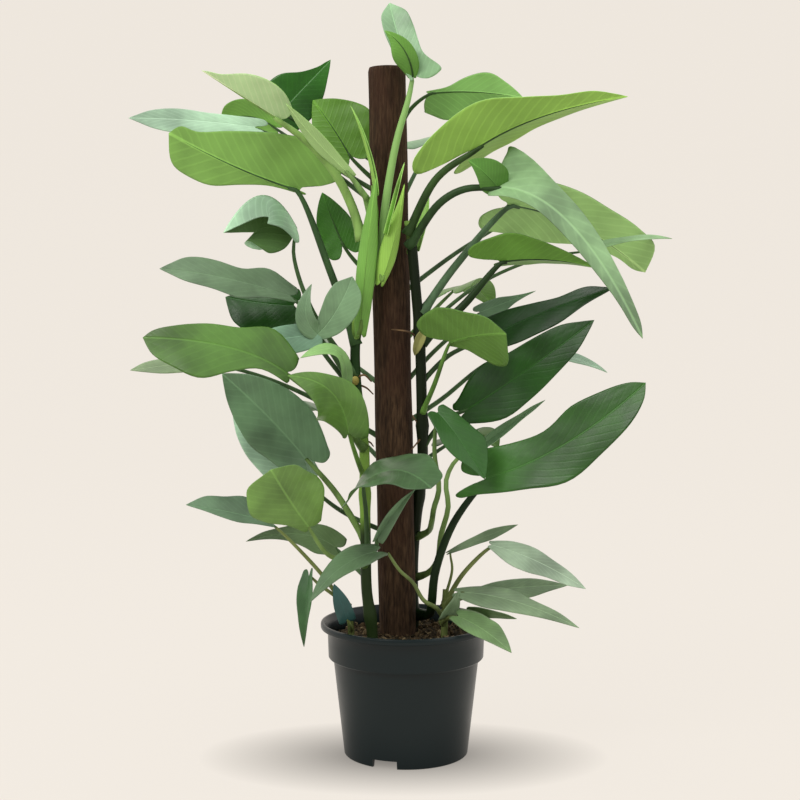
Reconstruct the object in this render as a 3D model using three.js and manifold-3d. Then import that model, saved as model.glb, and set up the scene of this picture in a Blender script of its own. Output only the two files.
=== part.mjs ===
// A potted silver queen philodendron on a fibre pole.
// Millimetres, +Z up, the pot's axis on Z and its foot at 0.
import * as THREE from "three";
import { mergeVertices } from "three/addons/utils/BufferGeometryUtils.js";
import Module from "manifold-3d";

const wasm = await Module();
wasm.setup();

// Driving sizes of the pot
const POT_HEIGHT = 148;
const LIP_RADIUS = 95;
const LIP_DEPTH = 7;
const COLLAR_RADIUS = 86.5;
const COLLAR_BOTTOM = 108;
const BODY_RADIUS = 81;
const BASE_RADIUS = 69;
const POT_WALL = 1.8;
const FLOOR_LEVEL = 7;
const FLOOR_THICKNESS = 2;
const POT_SIDES = 30;
const NOTCH_WIDTH = 28;
const NOTCH_HEIGHT = 9;
const NOTCH_TURNS = [-20, 100, 220];
const DRAIN_RADIUS = 6;
const DRAIN_RING = 40;
const DRAIN_COUNT = 6;

// Driving sizes of the mix, the pole and the stems
const MIX_LEVEL = 134;
const MIX_BUMP = 2.5;
const MIX_RINGS = 5;
const MIX_SIDES = 18;
const POLE_RADIUS = 20.5;
const POLE_FOOT = [-7, 1, 20];
const POLE_TOP = [-21, 1, 757];
const POLE_SIDES = 16;
const POLE_STEPS = 5;
const GAP = 0.3;

// Driving sizes of a leaf
const BLADE_THICKNESS = 0.9;
const RIB_HEIGHT = 1.3;
const STALK_SIDES = 5;
const STEM_SIDES = 7;
const STEM_STEPS = 15;
const ROOT_RADIUS = 1.1;
const NARROW_HALF = 17;

const vector = ([x, y, z]) => new THREE.Vector3(x, y, z);

// Solids: a closed geometry becomes a manifold solid and comes back as a geometry
function toSolid(geometry) {
  const bare = new THREE.BufferGeometry();
  bare.setAttribute("position", geometry.getAttribute("position").clone());
  if (geometry.index) bare.setIndex(geometry.index.clone());
  const merged = mergeVertices(bare, 1e-3);
  const corners = Array.from(merged.index.array);
  const kept = [];
  for (let i = 0; i < corners.length; i += 3) {
    const [a, b, c] = corners.slice(i, i + 3);
    if (a !== b && b !== c && c !== a) kept.push(a, b, c);
  }
  return new wasm.Manifold(new wasm.Mesh({
    numProp: 3,
    vertProperties: new Float32Array(merged.getAttribute("position").array),
    triVerts: new Uint32Array(kept),
  }));
}

function toGeometry(solid) {
  const mesh = solid.getMesh();
  const geometry = new THREE.BufferGeometry();
  geometry.setAttribute("position", new THREE.BufferAttribute(new Float32Array(mesh.vertProperties), 3));
  geometry.setIndex(Array.from(mesh.triVerts));
  geometry.computeVertexNormals();
  return geometry;
}

// A tube along a curve, with its radius scaled along the way by a function of 0 to 1
function tube(curve, radius, sides, steps, scale = () => 1) {
  const section = new THREE.Shape();
  for (let i = 0; i < sides; i += 1) {
    const turn = (i / sides) * Math.PI * 2;
    const corner = [radius * Math.cos(turn), radius * Math.sin(turn)];
    if (i === 0) section.moveTo(...corner);
    else section.lineTo(...corner);
  }
  const geometry = new THREE.ExtrudeGeometry(section, { steps, bevelEnabled: false, extrudePath: curve });
  const centres = curve.getSpacedPoints(steps);
  const position = geometry.getAttribute("position");
  const point = new THREE.Vector3();
  for (let i = 0; i < position.count; i += 1) {
    point.fromBufferAttribute(position, i);
    let nearest = 0;
    centres.forEach((centre, j) => {
      if (point.distanceToSquared(centre) < point.distanceToSquared(centres[nearest])) nearest = j;
    });
    point.sub(centres[nearest]).multiplyScalar(scale(nearest / steps)).add(centres[nearest]);
    position.setXYZ(i, point.x, point.y, point.z);
  }
  return geometry;
}

// A plain blade's half widths at 0, 0.2, 0.4, 0.6 and 0.8 of its length, and the round of its base lobe
const EVEN_WIDTHS = [0.98, 0.97, 0.92, 0.74, 0.44];
const LOBE_OUTLINE = [[0, 0], [-0.1, 0.1], [-0.55, 0.22], [-0.95, 0.48], [-0.8, 0.82], [-0.2, 0.98]];

// The half widths of one side of a blade in millimetres
function halfWidths(leaf, hand) {
  const widths = leaf.widths ?? EVEN_WIDTHS.map((share) => share * leaf.half);
  return Array.isArray(widths[0]) ? widths[hand] : widths;
}

// One margin of a blade, from the stalk round the lobe to the tip: along as a share of length, across in mm
function marginCurve(leaf, hand) {
  const widths = halfWidths(leaf, hand);
  const lobes = [leaf.lobe ?? 0.2].flat();
  const lobe = lobes[hand % lobes.length];
  const margin = LOBE_OUTLINE.map(([along, across]) => [along * lobe, across * widths[0]]);
  margin.push(...widths.slice(1).map((width, i) => [(i + 1) / 5, width]));
  margin.push([0.93, widths[4] * (leaf.blunt ?? 0.4)], [1, 0]);
  return new THREE.SplineCurve(margin.map(([along, across]) => new THREE.Vector2(along, across)));
}

// The curved sheet of a blade: a flat place on it (along, across) becomes a point in space
function bladeSheet(leaf) {
  const [joint, middle, tip] = [leaf.joint, leaf.middle, leaf.tip].map(vector);
  const control = middle.clone().multiplyScalar(2).sub(joint.clone().add(tip).multiplyScalar(0.5));
  const midrib = new THREE.QuadraticBezierCurve3(joint, control, tip);
  const length = midrib.getLength();
  const face = vector(leaf.face).normalize();
  const folds = [leaf.fold ?? 8].flat();
  const curls = [leaf.curl ?? -12].flat();
  const twist = THREE.MathUtils.degToRad(leaf.twist ?? 0);
  const wave = leaf.wave ?? 0.06;
  const lobeDrop = leaf.lobeDrop ?? 0.1;
  const margins = [marginCurve(leaf, 0), marginCurve(leaf, 1)];
  const widest = Math.max(...halfWidths(leaf, 0), ...halfWidths(leaf, 1));

  function frameAt(along) {
    const clamped = THREE.MathUtils.clamp(along, 0, 1);
    const tangent = midrib.getTangentAt(clamped);
    const side = tangent.clone().cross(face).normalize();
    const normal = side.clone().cross(tangent).normalize();
    const roll = twist * clamped;
    side.applyAxisAngle(tangent, roll);
    normal.applyAxisAngle(tangent, roll);
    const centre = midrib.getPointAt(clamped);
    if (along < 0) centre.addScaledVector(tangent, along * length);
    return { centre, tangent, side, normal };
  }

  function pointAt(along, across) {
    const { centre, side, normal } = frameAt(along);
    const hand = across < 0 ? 1 : 0;
    const reach = Math.abs(across) / widest;
    const fold = THREE.MathUtils.degToRad(folds[hand % folds.length]);
    const curl = THREE.MathUtils.degToRad(curls[hand % curls.length]) * reach;
    const bend = Math.abs(curl) < 1e-4 ? 1e-4 : curl;
    const out = (Math.abs(across) * (Math.sin(fold + bend) - Math.sin(fold))) / bend;
    let rise = (Math.abs(across) * (Math.cos(fold) - Math.cos(fold + bend))) / bend;
    rise += wave * widest * reach * reach * Math.sin(9 * along + (leaf.phase ?? 0) + 2 * hand);
    if (along < 0) rise -= (lobeDrop * length * along * along) / 0.2;
    return centre.addScaledVector(side, Math.sign(across) * out).addScaledVector(normal, rise);
  }

  function normalAt(along, across) {
    if (across === 0) return frameAt(along).normal;
    const inner = pointAt(along, across - 0.3 * Math.sign(across));
    const outer = pointAt(along, across);
    const ahead = pointAt(along + 0.01, across).sub(pointAt(along - 0.01, across));
    const sideways = outer.sub(inner).multiplyScalar(Math.sign(across));
    return sideways.cross(ahead).normalize();
  }

  return { midrib, length, margins, widest, frameAt, pointAt, normalAt };
}

// A blade: two skins with the same triangles, closed round the margin, with the midrib raised underneath
function bladeGeometry(leaf, sheet) {
  const narrow = sheet.widest < NARROW_HALF;
  const columns = leaf.columns ?? (narrow ? 5 : sheet.length > 150 ? 9 : 7);
  const rows = narrow ? 1 : 2;
  const points = [];
  const places = new Map();
  const rib = leaf.rib ?? RIB_HEIGHT;

  function place(hand, column, row) {
    const onRib = row === 0 || column === 0 || column === columns;
    const key = onRib ? `0,${column},0` : `${hand},${column},${row}`;
    if (!places.has(key)) {
      const t = column / columns;
      const edge = sheet.margins[hand > 0 ? 0 : 1].getPoint(t);
      const start = t ** 1.5;
      const reach = onRib ? 0 : row / rows;
      const along = THREE.MathUtils.lerp(start, edge.x, reach);
      const across = hand * Math.max(edge.y, 0) * reach;
      const point = sheet.pointAt(along, across);
      const normal = sheet.normalAt(along, across);
      const below = BLADE_THICKNESS / 2 + (onRib ? rib * (1 - start) : 0);
      places.set(key, points.length);
      points.push(point.clone().addScaledVector(normal, BLADE_THICKNESS / 2));
      points.push(point.clone().addScaledVector(normal, -below));
    }
    return places.get(key);
  }

  const index = [];
  function triangle(a, b, c) {
    if (a !== b && b !== c && c !== a) index.push(a, b, c);
  }
  function skins(a, b, c) {
    triangle(a, b, c);
    triangle(a + 1, c + 1, b + 1);
  }
  for (const hand of [1, -1]) {
    for (let column = 0; column < columns; column += 1) {
      for (let row = 0; row < rows; row += 1) {
        const a = place(hand, column, row);
        const b = place(hand, column + 1, row);
        const c = place(hand, column + 1, row + 1);
        const d = place(hand, column, row + 1);
        const quad = hand > 0 ? [[a, d, c], [a, c, b]] : [[a, c, d], [a, b, c]];
        quad.forEach((corners) => skins(...corners));
      }
      const from = place(hand, column, rows);
      const to = place(hand, column + 1, rows);
      const rim = hand > 0 ? [from, to] : [to, from];
      triangle(rim[0], rim[0] + 1, rim[1] + 1);
      triangle(rim[0], rim[1] + 1, rim[1]);
    }
  }
  const geometry = new THREE.BufferGeometry().setFromPoints(points);
  geometry.setIndex(index);
  return geometry;
}

// The stalk of a leaf: from its stem to the blade, and on under the midrib
function stalkCurve(leaf, sheet) {
  const under = [0.02, 0.08].map((along) => {
    const { centre, normal } = sheet.frameAt(along);
    return centre.addScaledVector(normal, -(leaf.stalk ?? 2.6) * 0.55);
  });
  return new THREE.CatmullRomCurve3([vector(leaf.root), ...leaf.via.map(vector), ...under], false,
  "centripetal");
}

function leafSolid(leaf) {
  const sheet = bladeSheet(leaf);
  const radius = leaf.stalk ?? 2.6;
  if (radius === 0) return toSolid(bladeGeometry(leaf, sheet));
  const curve = stalkCurve(leaf, sheet);
  const steps = leaf.stalkSteps ?? Math.max(3, Math.min(5, Math.round(curve.getLength() / 26)));
  const stalk = tube(curve, radius, STALK_SIDES, steps, (t) => 1.15 - 0.35 * t - 0.35 * t ** 6);
  const solid = toSolid(bladeGeometry(leaf, sheet)).add(toSolid(stalk));
  return (leaf.wings ?? []).reduce((all, wing) => all.add(leafSolid(wing)), solid);
}

// A leaf seated on its stems: cut where they pass, less any scrap left on their far side
function seatedLeaf(leaf, stems) {
  const pieces = leafSolid(leaf).subtract(stems).decompose();
  return pieces.reduce((largest, piece) => (piece.volume() > largest.volume() ? piece : largest));
}

// Stems: each follows the pole, thicker at its nodes
const STEMS = {
  stem_left: {
    radius: 6.2, nodes: [0.22, 0.46, 0.63, 0.8],
    route: [[-36, -33, 40], [-37, -34, 141], [-43, -38, 190], [-44, -40, 238], [-45, -34, 299],
      [-46, -27, 347], [-53, -26, 402], [-55, -26, 456], [-48, -27, 505], [-42, -28, 559], [-38, -28, 590]],
  },
  stem_right: {
    radius: 6.6, nodes: [0.2, 0.44, 0.6, 0.78],
    route: [[8, 25, 40], [8, 25, 140], [8, 25, 215], [13, 20, 275], [18, 7, 318], [18, -11, 355],
      [17, -22, 396], [15, -24, 461], [10, -26, 521], [5, -29, 575], [3, -30, 590]],
  },
  stem_back: {
    radius: 6, nodes: [0.25, 0.45, 0.62, 0.82],
    route: [[-9, 32, 40], [-10, 31, 131], [-16, 31, 336], [-20, 31, 560], [-22, 31, 672]],
  },
};

function stemGeometry(stem, extra = 0) {
  const curve = new THREE.CatmullRomCurve3(stem.route.map(vector));
  const swell = (t) => 1 + 0.22 * stem.nodes.reduce((sum,
  node) => sum + Math.exp(-(((t - node) / 0.02) ** 2)), 0);
  const taper = (t) => (1 - 0.18 * t) * swell(t) + extra / stem.radius;
  return tube(curve, stem.radius, STEM_SIDES, STEM_STEPS, taper);
}

// The pole, a plain round of fibre, a little uneven
function poleGeometry(extra = 0) {
  const curve = new THREE.LineCurve3(vector(POLE_FOOT), vector(POLE_TOP));
  const uneven = (t) => 1 + 0.012 * Math.sin(31 * t) + extra / POLE_RADIUS;
  return tube(curve, POLE_RADIUS, POLE_SIDES, POLE_STEPS, uneven);
}

// The pot: one lathed wall with its floor and foot ring, notched and drained
function potGeometry() {
  const lipBottom = POT_HEIGHT - LIP_DEPTH;
  const profile = [
    [0, FLOOR_LEVEL], [BASE_RADIUS - 8, FLOOR_LEVEL], [BASE_RADIUS - 5, 0], [BASE_RADIUS, 0],
    [BODY_RADIUS, COLLAR_BOTTOM - 1], [COLLAR_RADIUS, COLLAR_BOTTOM + 1],
    [COLLAR_RADIUS + 1, lipBottom - 1], [LIP_RADIUS - 1.5, lipBottom], [LIP_RADIUS, lipBottom + 2],
    [LIP_RADIUS, POT_HEIGHT - 2.5], [LIP_RADIUS - 2.5, POT_HEIGHT],
    [COLLAR_RADIUS + 1 - POT_WALL, lipBottom - 1], [COLLAR_RADIUS - POT_WALL, COLLAR_BOTTOM + 3],
    [BODY_RADIUS - POT_WALL, COLLAR_BOTTOM - 1], [BASE_RADIUS - POT_WALL, FLOOR_LEVEL + FLOOR_THICKNESS],
    [0, FLOOR_LEVEL + FLOOR_THICKNESS],
  ].map(([radius, height]) => new THREE.Vector2(radius, height));
  const shell = new THREE.LatheGeometry(profile, POT_SIDES);
  shell.rotateX(Math.PI / 2);
  let solid = toSolid(shell);
  for (const turn of NOTCH_TURNS) {
    const notch = new THREE.BoxGeometry(NOTCH_WIDTH, 12, NOTCH_HEIGHT * 2);
    notch.translate(0, -BASE_RADIUS + 1, -0.01);
    notch.rotateZ(THREE.MathUtils.degToRad(turn));
    solid = solid.subtract(toSolid(notch));
  }
  for (let i = 0; i < DRAIN_COUNT; i += 1) {
    const hole = new THREE.CylinderGeometry(DRAIN_RADIUS, DRAIN_RADIUS, 12, 9);
    hole.rotateX(Math.PI / 2);
    hole.translate(DRAIN_RING, 0, FLOOR_LEVEL);
    hole.rotateZ((i / DRAIN_COUNT) * Math.PI * 2);
    solid = solid.subtract(toSolid(hole));
  }
  return toGeometry(solid);
}

// The potting mix: a plug with a lumpy top, holed for all that stands in it
function mixBump(x, y) {
  return MIX_BUMP * (Math.sin(x / 6.1 + 1) * Math.cos(y / 5.3) + 0.6 * Math.sin((x + y) / 3.7));
}

function mixSolid() {
  const bottom = FLOOR_LEVEL + FLOOR_THICKNESS + 1;
  const bottomRadius = BASE_RADIUS - POT_WALL - 3;
  const topRadius = COLLAR_RADIUS - POT_WALL - 0.6;
  const profile = [new THREE.Vector2(0, bottom), new THREE.Vector2(bottomRadius, bottom)];
  profile.push(new THREE.Vector2(BODY_RADIUS - POT_WALL - 1, COLLAR_BOTTOM - 1));
  profile.push(new THREE.Vector2(topRadius, COLLAR_BOTTOM + 6));
  for (let i = 0; i <= MIX_RINGS; i += 1) {
    profile.push(new THREE.Vector2(topRadius * (1 - i / MIX_RINGS),
    MIX_LEVEL - 6 * (1 - i / MIX_RINGS) ** 6));
  }
  const plug = new THREE.LatheGeometry(profile, MIX_SIDES);
  plug.rotateX(Math.PI / 2);
  const position = plug.getAttribute("position");
  for (let i = 0; i < position.count; i += 1) {
    const radius = Math.hypot(position.getX(i), position.getY(i));
    if (position.getZ(i) > COLLAR_BOTTOM + 10 && radius < topRadius - 0.5) {
      position.setZ(i, position.getZ(i) + mixBump(position.getX(i), position.getY(i)));
    }
  }
  return toSolid(plug);
}

// Leaves. Each is a stalk from its root on a stem, by way of some points, to the joint, and a blade from
// there over its middle to its tip. "face" is the way the upper side looks. "half" is half its width, or
// "widths" are its half widths at every fifth of its length, for each side. "blunt" is the width near the
// tip as a share of the last one. "lobe" is how far its base lobes reach back as a share of its length,
// "fold" and "curl" are degrees. "wings" are what is folded over or sheathed: blades grown with the leaf,
// where a stalk of 0 means none.
const LEAVES = [
  {
    name: "leaf_top_new", tone: "young", root: [-50, -26, 503],
    via: [[-41, -27, 518], [-28, -34, 552], [-23, -35, 601], [-15, -34, 652], [-8, -33, 684], [2, -33, 718]],
    joint: [7, -32, 743], middle: [-8, -24, 785], tip: [-18, -6, 825],
    face: [-0.1, -0.97, 0.15], widths: [[32, 20, 19, 19, 16], [5, 9, 13, 15, 13]],
    lobe: [0.1, 0.05], fold: [8, 20], curl: [-10, 40], stalk: 4.4,
    wings: [
      {
        tone: "green", root: [2, -33, 720], via: [],
        joint: [7, -32, 743], middle: [-2, -46, 768], tip: [-23, -44, 789],
        face: [0.1, 0.95, 0.25], widths: [[6, 12, 15, 13, 6], [4, 9, 10, 9, 5]], lobe: 0.04,
        fold: 4, stalk: 0,
      },
      {
        tone: "lime", root: [-28, -34, 550], via: [],
        joint: [-27, -38, 524], middle: [-13, -47, 569], tip: [-2, -46, 628],
        face: [-0.3, 0.95, 0], widths: [[6, 13, 13, 9, 4], [6, 11, 10, 6, 3]], lobe: 0.05,
        fold: 25, curl: 30, rib: 0.4,
      },
      {
        tone: "lime", root: [-23, -36, 573], via: [],
        joint: [-19, -44, 579], middle: [-10, -56, 615], tip: [-2, -54, 650],
        face: [-0.3, -0.9, 0], half: 7, lobe: 0.05, fold: 60, curl: 20, rib: 0.4, stalk: 2,
      },
    ],
  },
  {
    name: "leaf_right_top_back", tone: "green", root: [-20, 31, 660], via: [[4, 42, 716]],
    joint: [25, 45, 735], middle: [77, 55, 738], tip: [133, 62, 732],
    face: [0, 0.85, 0.5], widths: [[3, 6, 18, 24, 14], [26, 35, 30, 21, 10]], lobe: [0.02, 0.04],
    fold: [8, 12],
  },
  {
    name: "leaf_right_lime", tone: "lime", root: [1, -30, 575], via: [[33, -40, 635]],
    joint: [70, -46, 662], middle: [138, -66, 695], tip: [229, -82, 715],
    face: [-0.1, 0.8, 0.55], widths: [[46, 44, 30, 18, 13], [36, 36, 28, 22, 12]], lobe: [0.36, 0.2],
    fold: [8, 45], stalk: 4.4,
  },
  {
    name: "leaf_right_silver_long", tone: "silver", root: [3, -28, 562],
    via: [[36, -50, 608], [63, -58, 622]],
    joint: [96, -62, 623], middle: [168, -104, 583], tip: [240, -126, 466],
    face: [0.35, -0.85, 0.35], widths: [[12, 14, 16, 14, 8], [56, 31, 21, 15, 10]], blunt: 0.65,
    lobe: [0.04, 0.03], fold: [5, 5], curl: [-12, -12], stalk: 4.2,
    wings: [
      {
        tone: "green", root: [78, -61, 623], via: [],
        joint: [96, -62, 623], middle: [81, -70, 638], tip: [65, -66, 651],
        face: [0, 0.9, 0.4], widths: [[13, 15, 12, 8, 4], [14, 20, 20, 16, 9]], lobe: 0.05,
        fold: 6, rib: 0.5, stalk: 0,
      },
    ],
  },
  {
    name: "leaf_right_under_big", tone: "green", root: [16, -24, 489], via: [[54, 0, 542]],
    joint: [112, 22, 610], middle: [194, 50, 588], tip: [273, 64, 536],
    face: [0.2, 0.85, 0.5], widths: [[30, 38, 40, 38, 36], [42, 40, 36, 20, 9]],
    blunt: 0.85, lobe: [0.1, 0.14],
    fold: [4, 10], curl: [-8, -8], stalk: 4.2,
  },
  {
    name: "leaf_right_narrow", tone: "silver", root: [16, -20, 472], via: [[82, 8, 523], [149, 28, 551]],
    joint: [205, 26, 560], middle: [250, 30, 572], tip: [302, 58, 574],
    face: [0, -0.6, 0.8], widths: [7, 7, 5, 5, 4], lobe: 0.05, fold: 20, stalk: 2,
  },
  {
    name: "leaf_right_under_flat", tone: "green", root: [17, -24, 459], via: [[62, -22, 499]],
    joint: [101, -26, 546], middle: [152, -40, 548], tip: [201, -50, 539],
    face: [0, 0.8, 0.6], widths: [[34, 35, 27, 17, 8], [24, 24, 20, 17, 9]], lobe: [0.3, 0.1],
    fold: [5, 45], stalk: 4.4,
  },
  {
    name: "leaf_right_small_back", tone: "silver", root: [-19, 31, 390], via: [[33, 40, 448]],
    joint: [84, 45, 491], middle: [114, 55, 502], tip: [148, 60, 515],
    face: [0, -0.85, 0.5], widths: [[9, 12, 10, 5, 2], [9, 10, 9, 5, 2]], lobe: 0.1,
  },
  {
    name: "leaf_right_dark_upper", tone: "dark", root: [16, -24, 415], via: [[48, -10, 445]],
    joint: [89, 0, 463], middle: [151, -32, 493], tip: [220, -60, 518],
    face: [-0.2, -0.85, 0.5], widths: [[18, 24, 23, 19, 9], [22, 21, 15, 10, 11]], lobe: 0.1, fold: [8, 12],
  },
  {
    name: "leaf_right_dark_lower", tone: "dark", root: [20, -8, 346], via: [[43, -13, 374]],
    joint: [65, -22, 385], middle: [126, -48, 428], tip: [198, -70, 484],
    face: [-0.2, -0.9, 0.35], widths: [[16, 32, 30, 24, 17], [16, 35, 29, 25, 19]], lobe: 0.08, fold: 6,
  },
  {
    name: "leaf_right_pale_back", tone: "silver", root: [-17, 31, 356], via: [[39, 60, 390], [97, 78, 433]],
    joint: [146, 88, 447], middle: [197, 92, 437], tip: [235, 94, 420],
    face: [0, -0.6, 0.8], widths: [8, 9, 9, 8, 5], lobe: 0.1,
  },
  {
    name: "leaf_centre_short", tone: "green", root: [18, -22, 383], via: [[30, -46, 414]],
    joint: [46, -62, 460], middle: [74, -98, 468], tip: [101, -130, 471],
    face: [0.1, 0.9, 0.4], widths: [[42, 43, 39, 30, 20], [6, 16, 32, 42, 34]], lobe: [0.28, 0.04],
    fold: [4, 4], curl: -10,
  },
  {
    name: "leaf_right_narrow_grey", tone: "silver", root: [10, 24, 192],
    via: [[24, 12, 199], [35, -12, 219], [38, -30, 249], [46, -26, 279], [44, -14, 307], [57, -2, 330]],
    joint: [87, 6, 345], middle: [117, 10, 367], tip: [155, 12, 394],
    face: [0.3, -0.7, 0.6], widths: [6, 7, 6, 4, 3], lobe: 0.05, fold: 30, stalk: 3,
  },
  {
    name: "leaf_right_big_low", tone: "green_top", root: [10, 24, 150],
    via: [[25, 6, 154], [28, -24, 172], [32, -40, 212], [53, -50, 269]],
    joint: [85, -58, 315], middle: [167, -88, 355], tip: [247, -106, 420],
    face: [-0.2, -0.88, 0.42], widths: [[17, 27, 38, 31, 24], [33, 28, 24, 31, 24]],
    blunt: 0.55, lobe: [0.2, 0.14],
    fold: [5, 5], curl: [-6, -6], stalk: 4.6,
  },
  {
    name: "leaf_centre_dark_small", tone: "dark", root: [11, 23, 238],
    via: [[24, 10, 246], [28, -22, 262], [30, -44, 281], [35, -54, 302], [30, -60, 345]],
    joint: [33, -66, 386], middle: [57, -82, 357], tip: [82, -92, 318],
    face: [0.3, -0.9, 0.3], widths: [[12, 16, 19, 16, 8], [12, 17, 21, 24, 15]], lobe: 0.06, fold: 10,
    stalk: 3, stalkSteps: 7,
  },
  {
    name: "leaf_centre_front", tone: "silver", root: [-42, -41, 237], via: [[-43, -66, 280]],
    joint: [-47, -80, 311], middle: [-11, -124, 331], tip: [24, -176, 319],
    face: [0, -0.52, 0.84], widths: [[34, 38, 40, 37, 28], [34, 37, 38, 34, 25]], blunt: 0.75, lobe: 0.22,
    curl: -10,
  },
  {
    name: "leaf_left_lime", tone: "lime", root: [-47, -34, 569],
    via: [[-59, -38, 607], [-77, -46, 641], [-104, -56, 671]],
    joint: [-132, -62, 693], middle: [-171, -80, 716], tip: [-210, -92, 740],
    face: [0.2, 0.8, 0.55], widths: [[22, 22, 20, 14, 8], [20, 32, 33, 24, 9]], lobe: [0.05, 0.05],
    fold: [60, 8], curl: -10, stalk: 4.8,
  },
  {
    name: "leaf_left_lime_back", tone: "lime", root: [-37, -27, 589], via: [[-43, -34, 614], [-43, -44, 614]],
    joint: [-58, -54, 636], middle: [-92, -68, 669], tip: [-124, -86, 707],
    face: [0.3, 0.8, 0.4], widths: [[5, 8, 10, 9, 6], [5, 8, 10, 9, 6]], lobe: 0.03,
    fold: [20, 10], stalk: 3.6,
  },
  {
    name: "leaf_left_dark_top", tone: "dark", root: [-21, 31, 649], via: [[-85, 40, 689]],
    joint: [-141, 42, 713], middle: [-116, 44, 740], tip: [-84, 42, 772],
    face: [0.3, -0.9, 0.2], widths: [[28, 30, 28, 22, 12], [30, 32, 28, 14, 5]], lobe: [0.1, 0.1],
  },
  {
    name: "leaf_left_silver_far", tone: "silver", root: [-20, 31, 601], via: [[-120, 56, 674]],
    joint: [-170, 56, 699], middle: [-238, 44, 705], tip: [-306, 20, 705],
    face: [0, -0.85, 0.5], widths: [[12, 11, 12, 15, 11], [16, 19, 21, 21, 15]], lobe: 0.1,
  },
  {
    name: "leaf_left_under_big", tone: "green", root: [-54, -26, 456], via: [[-83, -14, 537]],
    joint: [-116, -5, 624], middle: [-184, 0, 649], tip: [-261, 14, 688],
    face: [0, 0.85, 0.5], widths: [[4, 6, 18, 34, 38], [60, 58, 48, 34, 18]], lobe: [0.05, 0.26], blunt: 0.8,
    fold: [5, 5], curl: -6, stalk: 4.2,
  },
  {
    name: "leaf_left_green_back", tone: "green", root: [-21, 31, 618], via: [[-98, 74, 666]],
    joint: [-150, 100, 703], middle: [-185, 110, 718], tip: [-216, 118, 710],
    face: [0, 0.8, 0.6], widths: [[16, 18, 18, 16, 10], [12, 17, 21, 21, 17]], lobe: 0.1,
  },
  {
    name: "leaf_left_round", tone: "green", root: [-21, 31, 629], via: [[-38, 28, 640]],
    joint: [-61, 26, 662], middle: [-81, 32, 695], tip: [-104, 40, 727],
    face: [0.1, 0.95, -0.1], widths: [[26, 30, 28, 22, 13], [32, 39, 45, 38, 23]], lobe: 0.12, fold: 4,
  },
  {
    name: "leaf_left_spear", tone: "lime", root: [-35, -31, 578], via: [[-32, -34, 596]],
    joint: [-35, -34, 620], middle: [-43, -36, 663], tip: [-59, -38, 711],
    face: [0.6, -0.8, 0], half: 8, lobe: 0.05, fold: 70, curl: 20,
  },
  {
    name: "leaf_left_silver_arch", tone: "silver", root: [-54, -27, 423],
    via: [[-101, -40, 494], [-120, -46, 552]],
    joint: [-116, -50, 581], middle: [-152, -62, 615], tip: [-191, -78, 575],
    face: [-0.1, 0.15, 1], widths: [[46, 56, 58, 48, 30], [30, 44, 45, 34, 20]], lobe: 0.12,
    fold: [-72, -52], curl: -8, wave: 0.03,
  },
  {
    name: "leaf_left_inner", tone: "green", root: [-21, 31, 516], via: [[-56, 26, 547]],
    joint: [-70, 26, 565], middle: [-83, 34, 596], tip: [-94, 42, 625],
    face: [0, 0.95, -0.3], half: 22, lobe: 0.2,
  },
  {
    name: "leaf_left_silver_long", tone: "silver", root: [-53, -26, 407], via: [[-99, -18, 485]],
    joint: [-126, -18, 509], middle: [-193, -44, 528], tip: [-261, -60, 538],
    face: [0, -0.8, 0.6], widths: [[15, 25, 17, 21, 18], [8, 13, 22, 19, 14]], lobe: 0.06, fold: 10,
  },
  {
    name: "leaf_left_dark_behind", tone: "dark", root: [-53, -24, 401], via: [[-97, 0, 455]],
    joint: [-124, 8, 499], middle: [-160, 14, 501], tip: [-201, 20, 508],
    face: [0, -0.9, 0.4], widths: [[20, 20, 19, 15, 9], [32, 38, 40, 36, 26]], lobe: 0.1,
  },
  {
    name: "leaf_left_grey_lobed", tone: "silver", root: [-53, -28, 394], via: [[-70, -46, 432]],
    joint: [-94, -58, 469], middle: [-132, -64, 464], tip: [-176, -68, 455],
    face: [0.1, -0.95, 0.3], widths: [[10, 13, 14, 13, 9], [14, 17, 18, 16, 10]], lobe: 0.05,
    fold: 4, curl: -6,
    wings: [
      {
        root: [-70, -47, 434], via: [],
        joint: [-94, -58, 469], middle: [-74, -62, 494], tip: [-57, -60, 530],
        face: [0.3, -0.9, 0.2], widths: [[8, 16, 20, 21, 16], [5, 12, 16, 18, 15]], lobe: 0.05,
        fold: 12, rib: 0.5, stalk: 0,
      },
      {
        root: [-70, -47, 433], via: [],
        joint: [-94, -58, 469], middle: [-106, -66, 490], tip: [-100, -62, 522],
        face: [-0.2, -0.9, 0.3], widths: [[8, 10, 9, 6, 3], [8, 12, 12, 9, 5]], lobe: 0.05,
        fold: 10, rib: 0.5, stalk: 0,
      },
    ],
  },
  {
    name: "leaf_left_bright", tone: "green_top", root: [-46, -30, 344], via: [[-89, -72, 398]],
    joint: [-124, -98, 429], middle: [-182, -120, 457], tip: [-268, -128, 467],
    face: [0, -0.88, 0.48], widths: [[24, 36, 25, 22, 15], [10, 12, 27, 42, 31]], blunt: 0.6, lobe: 0.04,
    fold: [4, 8], stalk: 3.4,
  },
  {
    name: "leaf_left_pale_back", tone: "silver", root: [-18, 31, 344],
    via: [[-119, 34, 401], [-187, 36, 426]],
    joint: [-231, 30, 435], middle: [-266, 20, 432], tip: [-306, 10, 427],
    face: [0, -0.75, 0.65], widths: [[8, 10, 10, 10, 7], [9, 12, 12, 11, 6]], lobe: 0.1,
  },
  {
    name: "leaf_left_small_arch", tone: "green", root: [-48, -31, 372], via: [[-58, -54, 394]],
    joint: [-63, -72, 412], middle: [-72, -84, 451], tip: [-110, -96, 445],
    face: [0.4, -0.5, 0.75], widths: [[6, 9, 11, 10, 6], [6, 9, 11, 10, 6]], lobe: 0.05,
  },
  {
    name: "leaf_left_hanging", tone: "silver", root: [-44, -38, 244], via: [[-77, -30, 296]],
    joint: [-110, -22, 332], middle: [-150, -8, 375], tip: [-203, 0, 424],
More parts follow.
